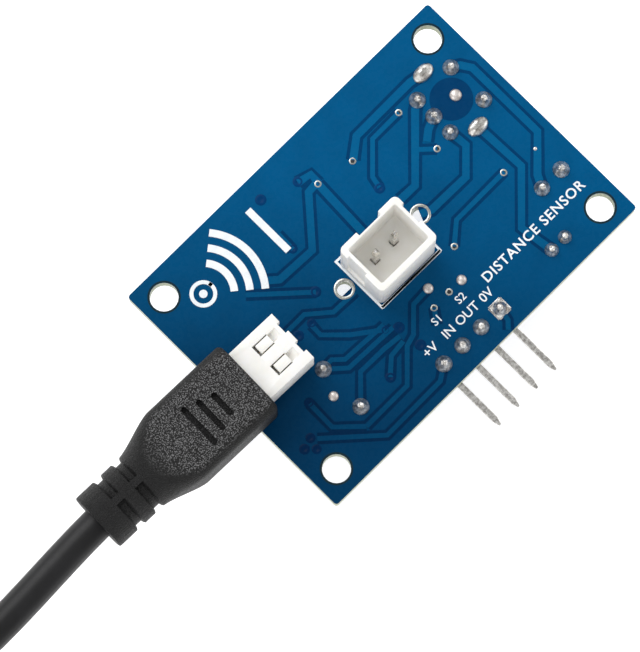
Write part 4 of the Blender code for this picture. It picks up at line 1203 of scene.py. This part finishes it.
CHIPS = [
    ("controller_chip", "controller", (0.5, 8.5), 9.9, 3.9, 1.5, 8, 1.0, 1.27),
    ("amplifier_chip", "amplifier", (-6.5, -6.8), 4.3, 3.9, 1.5, 4, 1.0, 1.0),
    ("driver_chip", "driver", (-12.5, 7.5), 8.7, 3.9, 1.5, 7, 1.0, 1.2),
    ("transistor_1", "first_transistor", (9.3, 1.5), 2.9, 1.3, 1.0, 2, 0.6, 1.9),
    ("transistor_2", "second_transistor", (9.3, -3.5), 2.9, 1.3, 1.0, 2, 0.6, 1.9),
]
for node, name, at, length, width, height, legs, reach, pitch in CHIPS:
    body = chip_body(length, width, height)
    rows = []
    for side in (-1, 1):
        count = 1 if legs == 2 and side == 1 else legs
        xs = [(k - (count - 1) / 2) * pitch for k in range(count)]
        rows.append(stamps(gull_leg(side, width, reach + 0.05, height), [(x, 0, 0) for x in xs], leg_metal))
    legs_mesh = joined(rows)
    moved(body, (*at, 0))
    moved(legs_mesh, (*at, 0))
    make_piece(f"{name}_body", body, [epoxy], "board", [node], sharp=30)
    make_piece(f"{name}_legs", legs_mesh, [leg_metal], "board", sharp=30)

SMALL_PARTS = [
    (-3.2, -2.2), (-0.2, -3.2), (2.6, -3.0), (5.2, -6.6), (7.8, -7.2), (6.2, 2.0), (6.6, 5.4), (-3.4, 4.2),
    (3.6, 4.4), (-8.0, 2.6), (-11.6, 3.2), (-16.2, 2.4), (-16.4, -1.0), (-16.2, -4.6), (-7.6, -11.4),
    (-4.8, 12.2), (4.8, 12.2), (9.2, 10.2),
]
chip_ceramic = coating("chip_ceramic", tone(152, 126, 96), tone(120, 98, 74), 0.4, 0.08, (0.4, 0.6), 0.006)
ceramic_body = block((-0.6, -0.6, -0.62), (0.6, 0.6, -0.06))
bodies = stamps(ceramic_body, [(x, y, 0) for x, y in SMALL_PARTS], chip_ceramic)
make_piece("small_part_bodies", bodies, [chip_ceramic], "board", sharp=30)
ends = []
for side in (-1, 1):
    low, high = sorted((side * 0.58, side * 1.0))
    cap = carved(block((low, -0.63, -0.66), (high, 0.63, -0.03)), edge=0.06)
    fillet = moved(block((-0.2, -0.7, -0.2), (0.2, 0.7, 0.01)), (side * 1.1, 0, 0))
    ends.append(stamps(joined([cap, fillet]), [(x, y, 0) for x, y in SMALL_PARTS], leg_metal))
make_piece("small_part_ends", joined(ends), [leg_metal], "board", sharp=40)

# ---------------------------------------------------------------------------------------------------
# The plug: a two-way crimp housing in white nylon. Each channel has a window with a locking tongue that
# holds a stamped contact, a shallow trough runs on to the front edge, and the edge is stepped.

PLUG_LENGTH = 8.8
PLUG_HALF_Y = 2.9
PLUG_HALF_Z = 2.25
PLUG_PITCH = 2.5
LEAD_MATRIX = Matrix.Translation(LEAD_AT * 1000) @ Matrix.Rotation(LEAD_TURN, 4, "Z")


def on_lead(bm):
    """Puts a shape made about the plug's front face in its place."""
    bmesh.ops.transform(bm, matrix=LEAD_MATRIX, verts=bm.verts)
    return bm


plug_cuts = []
for side in (-1, 1):
    y = side * PLUG_PITCH / 2
    plug_cuts.append(block((-PLUG_LENGTH - 1, y - 0.85, -0.85), (1, y + 0.85, 0.85)))
    # The slots on three sides of the tongue, the rear one wider.
    plug_cuts.append(block((-3.35, y - 0.62, 0.0), (-1.75, y - 0.47, 3)))
    plug_cuts.append(block((-3.35, y + 0.47, 0.0), (-1.75, y + 0.62, 3)))
    plug_cuts.append(block((-3.6, y - 0.62, 0.0), (-3.3, y + 0.62, 3)))
    # The trough: deepest at the tongue, running out at the front edge.
    trough = block((-1.75, y - 0.5, 1.4), (-0.75, y + 0.5, 3))
    for v in trough.verts:
        if v.co.z < 2 and v.co.x > -1:
            v.co.z = 2.2
    plug_cuts.append(trough)
    plug_cuts.append(block((-0.35, y - 0.6, 0.85), (1, y + 0.6, 3)))
housing = block((-PLUG_LENGTH, -PLUG_HALF_Y, -PLUG_HALF_Z), (0, PLUG_HALF_Y, PLUG_HALF_Z))
housing = on_lead(carved(housing, plug_cuts, edge=0.06))
plug_piece = make_piece(
    "plug_body", housing, [nylon], "probe_lead", ["plug_housing"], sharp=40
)
contact = block((-PLUG_LENGTH + 0.4, -0.7, -0.7), (-0.8, 0.7, 0.7))
contact_cut = block((-PLUG_LENGTH + 1.2, -0.4, -0.4), (1, 0.4, 0.4))
seam = block((-PLUG_LENGTH, -0.04, 0.3), (0, 0.04, 1))
contact = carved(contact, [contact_cut, seam], edge=0.05)
contact_places = [(0, side * PLUG_PITCH / 2, 0) for side in (-1, 1)]
contacts = on_lead(stamps(contact, contact_places, pin_metal))
contact_nodes = ["plug_contact_1", "plug_contact_2"]
make_piece("plug_contacts", contacts, [pin_metal], "probe_lead", contact_nodes)

# ---------------------------------------------------------------------------------------------------
# The grip: black vinyl moulded over the plug and the cable in one shot, with a leather grain all over,
# three finger bars sunk in its top and a neck that two bridged grooves let bend with the cable.

GRIP_HALF_Y = 4.15
GRIP_HALF_Z = 3.5
GRIP_FRONT = -5.7
GRIP_LENGTH = 25.5
GRIP_CORNER = 1.3
NOSE_ROUNDING = 0.5
TAPER_X = -15.2
TAPER_LENGTH = 4.6
RING_RADIUS = 3.1
NECK_RADIUS = 2.65
NECK_ROUNDING = 0.2
BRIDGE_HALF = 0.4
GROOVES_X = (-20.35, -22.7)
FIRST_BAR_X = GRIP_FRONT - 3.75
BAR_PITCH = 1.5
BARS_Y = -0.3
POCKET_GAP = 0.02


def leather_vinyl():
    """Black vinyl with a pebbled grain whose tops carry a painted highlight."""
    made = coating(
        "leather_vinyl", tone(13, 13, 13), tone(21, 21, 22), 2.0, 0.2, (0.42, 0.6), 0.0, shine=0.3
    )
    tree = made.node_tree
    shader = tree.nodes["Principled BSDF"]
    place = tree.nodes.new("ShaderNodeTexCoord")
    cells = add_node(tree, "ShaderNodeTexVoronoi", {
        "Vector": place.outputs["Object"], "Scale": 7600.0,
    }, feature="F1")
    fine = add_node(tree, "ShaderNodeTexNoise", {
        "Vector": place.outputs["Object"], "Scale": 7000.0, "Detail": 2.0,
    })
    pebble = add_node(tree, "ShaderNodeMath", {
        0: fine.outputs["Fac"], 1: cells.outputs["Distance"],
    }, operation="SUBTRACT")
    bump = add_node(tree, "ShaderNodeBump", {"Height": pebble.outputs[0], "Distance": 0.00008})
    wire(tree, bump.outputs["Normal"], shader.inputs["Normal"])
    tops = ramp(tree, pebble.outputs[0], 0.0, 0.26)
    facing = add_node(tree, "ShaderNodeSeparateXYZ", {0: place.outputs["Normal"]})
    height = add_node(tree, "ShaderNodeSeparateXYZ", {0: place.outputs["Object"]})
    # The painted highlight on the grain tops is kept to the faces that look up, at the grip's full height.
    for value, low, high in ((facing.outputs["Z"], 0.2, 0.98), (height.outputs["Z"], 0.00858, 0.00886)):
        lit_tops = add_node(tree, "ShaderNodeMath", {
            0: tops, 1: ramp(tree, value, low, high),
        }, operation="MULTIPLY")
        tops = lit_tops.outputs[0]
    skin = tree.nodes["skin"].outputs["Colour"]
    # The pale grey mixed in on the grain tops is a painted highlight.
    wire(tree, mix_colour(tree, tops, skin, tone(122, 122, 123)), shader.inputs["Base Color"])
    return made


def lofted(sections, steps=8):
    """A closed solid through rounded sections (x, half width, half height, corner radius)."""
    bm = bmesh.new()
    loops = []
    for x, wide, high, corner in sections:
        outline = round_corners(2 * wide, 2 * high, corner, steps)
        loops.append([bm.verts.new((x, y, z)) for y, z in outline])
    return skinned(bm, loops)


def neck_groove(middle, side):
    """The cutter for one side of a groove round the neck. It stops short of the bridges above and below."""
    profile = [(-0.33, NECK_RADIUS), (-0.42, 2.95), (-0.56, 3.14), (-0.56, 4.4),
               (0.56, 4.4), (0.56, 3.14), (0.42, 2.95), (0.33, NECK_RADIUS)]
    first = BRIDGE_HALF / RING_RADIUS
    bm = bmesh.new()
    loops = []
    for k in range(25):
        a = first + (math.pi - 2 * first) * k / 24
        across = side * math.sin(a)
        loops.append([bm.verts.new((middle + x, r * across, r * math.cos(a))) for x, r in profile])
    return skinned(bm, loops)


grip_sections = []
for k in range(6):
    a = math.pi / 2 * k / 5
    inset = NOSE_ROUNDING * (1 - math.sin(a))
    x = GRIP_FRONT - NOSE_ROUNDING * (1 - math.cos(a))
    grip_sections.append((x, GRIP_HALF_Y - inset, GRIP_HALF_Z - inset, GRIP_CORNER - 0.5 * inset))
grip_sections.append((TAPER_X, GRIP_HALF_Y, GRIP_HALF_Z, GRIP_CORNER))
for k in range(1, 13):
    share = ease(k / 12) * 0.45 + (k / 12) * 0.55
    x = TAPER_X - TAPER_LENGTH * k / 12
    wide = GRIP_HALF_Y + (RING_RADIUS - GRIP_HALF_Y) * share
    high = GRIP_HALF_Z + (RING_RADIUS - GRIP_HALF_Z) * share
    grip_sections.append((x, wide, high, GRIP_CORNER + (RING_RADIUS * 0.98 - GRIP_CORNER) * share))
for k in range(5):
    a = math.pi / 2 * k / 4
    radius = RING_RADIUS - NECK_ROUNDING * (1 - math.cos(a))
    x = -GRIP_LENGTH + NECK_ROUNDING * (1 - math.sin(a))
    grip_sections.append((x, radius, radius, radius * 0.98))
grooves = [neck_groove(middle, side) for middle in GROOVES_X for side in (1, -1)]
bars = []
for number, length in enumerate((2.8, 3.8, 4.7)):
    bar = raised(round_corners(0.6, length, 0.27, 5), GRIP_HALF_Z - 0.4, GRIP_HALF_Z + 1)
    bars.append(moved(bar, (FIRST_BAR_X - number * BAR_PITCH, BARS_Y, 0)))
pocket_low = (-PLUG_LENGTH - 0.3, -PLUG_HALF_Y - POCKET_GAP, -PLUG_HALF_Z - POCKET_GAP)
pocket = block(pocket_low, (GRIP_FRONT + 1, PLUG_HALF_Y + POCKET_GAP, PLUG_HALF_Z + POCKET_GAP))
grip_vinyl = leather_vinyl()
grip = on_lead(carved(lofted(grip_sections), bars + grooves + [pocket]))
grip_piece = make_piece(
    "moulded_grip", grip, [grip_vinyl], "probe_lead", ["plug_grip"], sharp=50
)

# ---------------------------------------------------------------------------------------------------
# The cable tie: a black nylon strap with ratchet teeth across it, drawn round the hank and through its
# own square head.

tie_nylon = coating("tie_nylon", tone(30, 30, 31), tone(40, 40, 41), 1.0, 0.15, (0.35, 0.5), 0.006)
TIE_X = (HANK_NEAR_X - HANK_STRAIGHT / 2) * 1000
TIE_Y = HANK_Y * 1000
TIE_HALF = 18.95
TIE_LOW = -11.1
TIE_HIGH = 9.3
STRAP = 0.55
STRAP_HALF = 1.3
HEAD_HALF = 1.8
strap_height = TIE_HIGH - TIE_LOW
middle_z = (TIE_HIGH + TIE_LOW) / 2
outer_loop = round_corners(2 * TIE_HALF + 2 * STRAP, strap_height + 2 * STRAP, 1.6)
inner_loop = round_corners(2 * TIE_HALF, strap_height, 1.1)
strap = carved(raised(outer_loop, -STRAP_HALF, STRAP_HALF), [raised(inner_loop, -3, 3)], edge=0.12)
moved(strap, (0, 0, 0), 90, "X")
moved(strap, (0, 0, 0), 90, "Z")
moved(strap, (TIE_X, TIE_Y, middle_z))
tooth = block((-0.9, -0.12, 0.0), (0.9, 0.12, 0.09))
TOOTH_PITCH = 0.5
under_head = range(41, 52)
teeth_z = TIE_HIGH + STRAP - 0.02
tooth_places = [(TIE_X, TIE_Y + TOOTH_PITCH * k - 16.0, teeth_z) for k in range(65) if k not in under_head]
teeth = stamps(tooth, tooth_places, tie_nylon)
head_low = (TIE_X - HEAD_HALF, TIE_Y + 5.0, TIE_HIGH + 0.02)
head = carved(block(head_low, (TIE_X + HEAD_HALF, TIE_Y + 9.2, TIE_HIGH + 0.88)), edge=0.2)
tie = joined([strap, teeth, head])
tie_piece = make_piece("tie_strap", tie, [tie_nylon], "probe_lead", ["cable_tie"])

# ---------------------------------------------------------------------------------------------------
# The probe: a black moulded shell with a flange at its face, and in it an aluminium cup on a rubber ring.
# A piezo disc is glued inside the cup, backed by foam and resin. Two leaf springs hold it in a panel.

PROBE_FACE_X = -174.2
PROBE_AT = (PROBE_FACE_X, HANK_Y * 1000, PROBE_Z * 1000)
PROBE_MATRIX = Matrix.Translation(PROBE_AT) @ Matrix.Rotation(math.pi / 2, 4, "Y")
shell_profile = [
    (7.8, 0.0), (10.1, 0.0), (10.7, 0.2), (11.0, 0.75), (11.0, 2.2), (10.8, 2.5), (9.2, 2.5), (9.0, 2.75),
    (9.0, 6.0), (8.85, 6.15), (8.85, 6.75), (9.0, 6.9), (9.0, 16.3), (8.7, 17.3), (7.6, 18.0), (2.6, 18.0),
    (2.6, 16.8), (7.8, 15.8),
]
shell = turned(shell_profile, 96, PROBE_MATRIX)
shell_piece = make_piece(
    "probe_housing", shell, [black_plastic], "probe_lead", ["probe_shell"]
)
ring_profile = [(7.15, 0.2), (7.3, 0.12), (7.5, 0.12), (7.65, 0.2), (7.65, 9.0), (7.15, 9.0)]
ring_mesh = turned(ring_profile, 96, PROBE_MATRIX)
make_piece("isolation_ring", ring_mesh, [rubber], "probe_lead", ["probe_isolation_ring"])


def spun_aluminium():
    """Aluminium faced on a lathe: fine rings about the probe's axis."""
    made = coating(
        "spun_aluminium", tone(206, 207, 208), tone(190, 191, 193), 2.5, 0.1, (0.22, 0.36), 0.004, metal=1.0
    )
    tree = made.node_tree
    place = tree.nodes.new("ShaderNodeTexCoord")
    centre = add_node(tree, "ShaderNodeMapping", {
        "Vector": place.outputs["Object"], "Location": (0.0, -HANK_Y, -PROBE_Z), "Scale": (0.0, 1.0, 1.0),
    })
    out = add_node(tree, "ShaderNodeVectorMath", {0: centre.outputs["Vector"]}, operation="LENGTH")
    rings = add_node(tree, "ShaderNodeTexNoise", {
        "W": out.outputs["Value"], "Scale": 14000.0,
    }, noise_dimensions="1D")
    bump = add_node(tree, "ShaderNodeBump", {"Height": rings.outputs["Fac"], "Distance": 0.00001})
    wire(tree, bump.outputs["Normal"], tree.nodes["Principled BSDF"].inputs["Normal"])
    return made


cup_profile = [
    (0.0, 0.0), (6.7, 0.0), (6.93, 0.1), (7.0, 0.35), (7.0, 9.0), (6.3, 9.0), (6.3, 0.7), (0.0, 0.7),
]
cup_mesh = turned(cup_profile, 96, PROBE_MATRIX)
make_piece("sensing_cup", cup_mesh, [spun_aluminium()], "probe_lead", ["transducer_cup"])
piezo = coating("piezo_ceramic", tone(206, 196, 170), tone(186, 174, 146), 0.8, 0.1, (0.5, 0.7), 0.004)
foam = coating("damping_foam", tone(176, 168, 156), tone(132, 124, 112), 0.5, 0.2, (0.85, 0.95), 0.05)
resin = coating("potting_resin", tone(44, 44, 48), tone(58, 57, 60), 1.5, 0.5, (0.15, 0.3), 0.02)
set_finish("piezo_disc", piezo)
set_finish("damping_disc", foam)
set_finish("probe_potting", resin)

relief_profile = [(0.0, 15.5), (2.4, 15.5), (2.4, 18.3), (3.3, 18.3), (3.4, 18.5), (3.4, 19.9)]
RIB_PITCH = 1.35
for k in range(4):
    x = 20.1 + RIB_PITCH * k
    outer = 3.3 - 0.27 * k
    root = outer - 0.45
    relief_profile += [(root, x), (root, x + 0.4), (outer, x + 0.5), (outer - 0.05, x + 1.2)]
relief_profile += [(2.2, 25.7), (2.1, 26.0), (0.0, 26.0)]
relief = turned(relief_profile, 48, PROBE_MATRIX)
relief_piece = make_piece(
    "cable_relief", relief, [rubber], "probe_lead", ["probe_strain_relief"], sharp=60
)
spring_steel = coating(
    "spring_steel", tone(178, 178, 180), tone(150, 150, 154), 1.2, 0.1, (0.2, 0.35), 0.008, metal=1.0
)
set_finish("clip_left", spring_steel)
set_finish("clip_right", spring_steel)
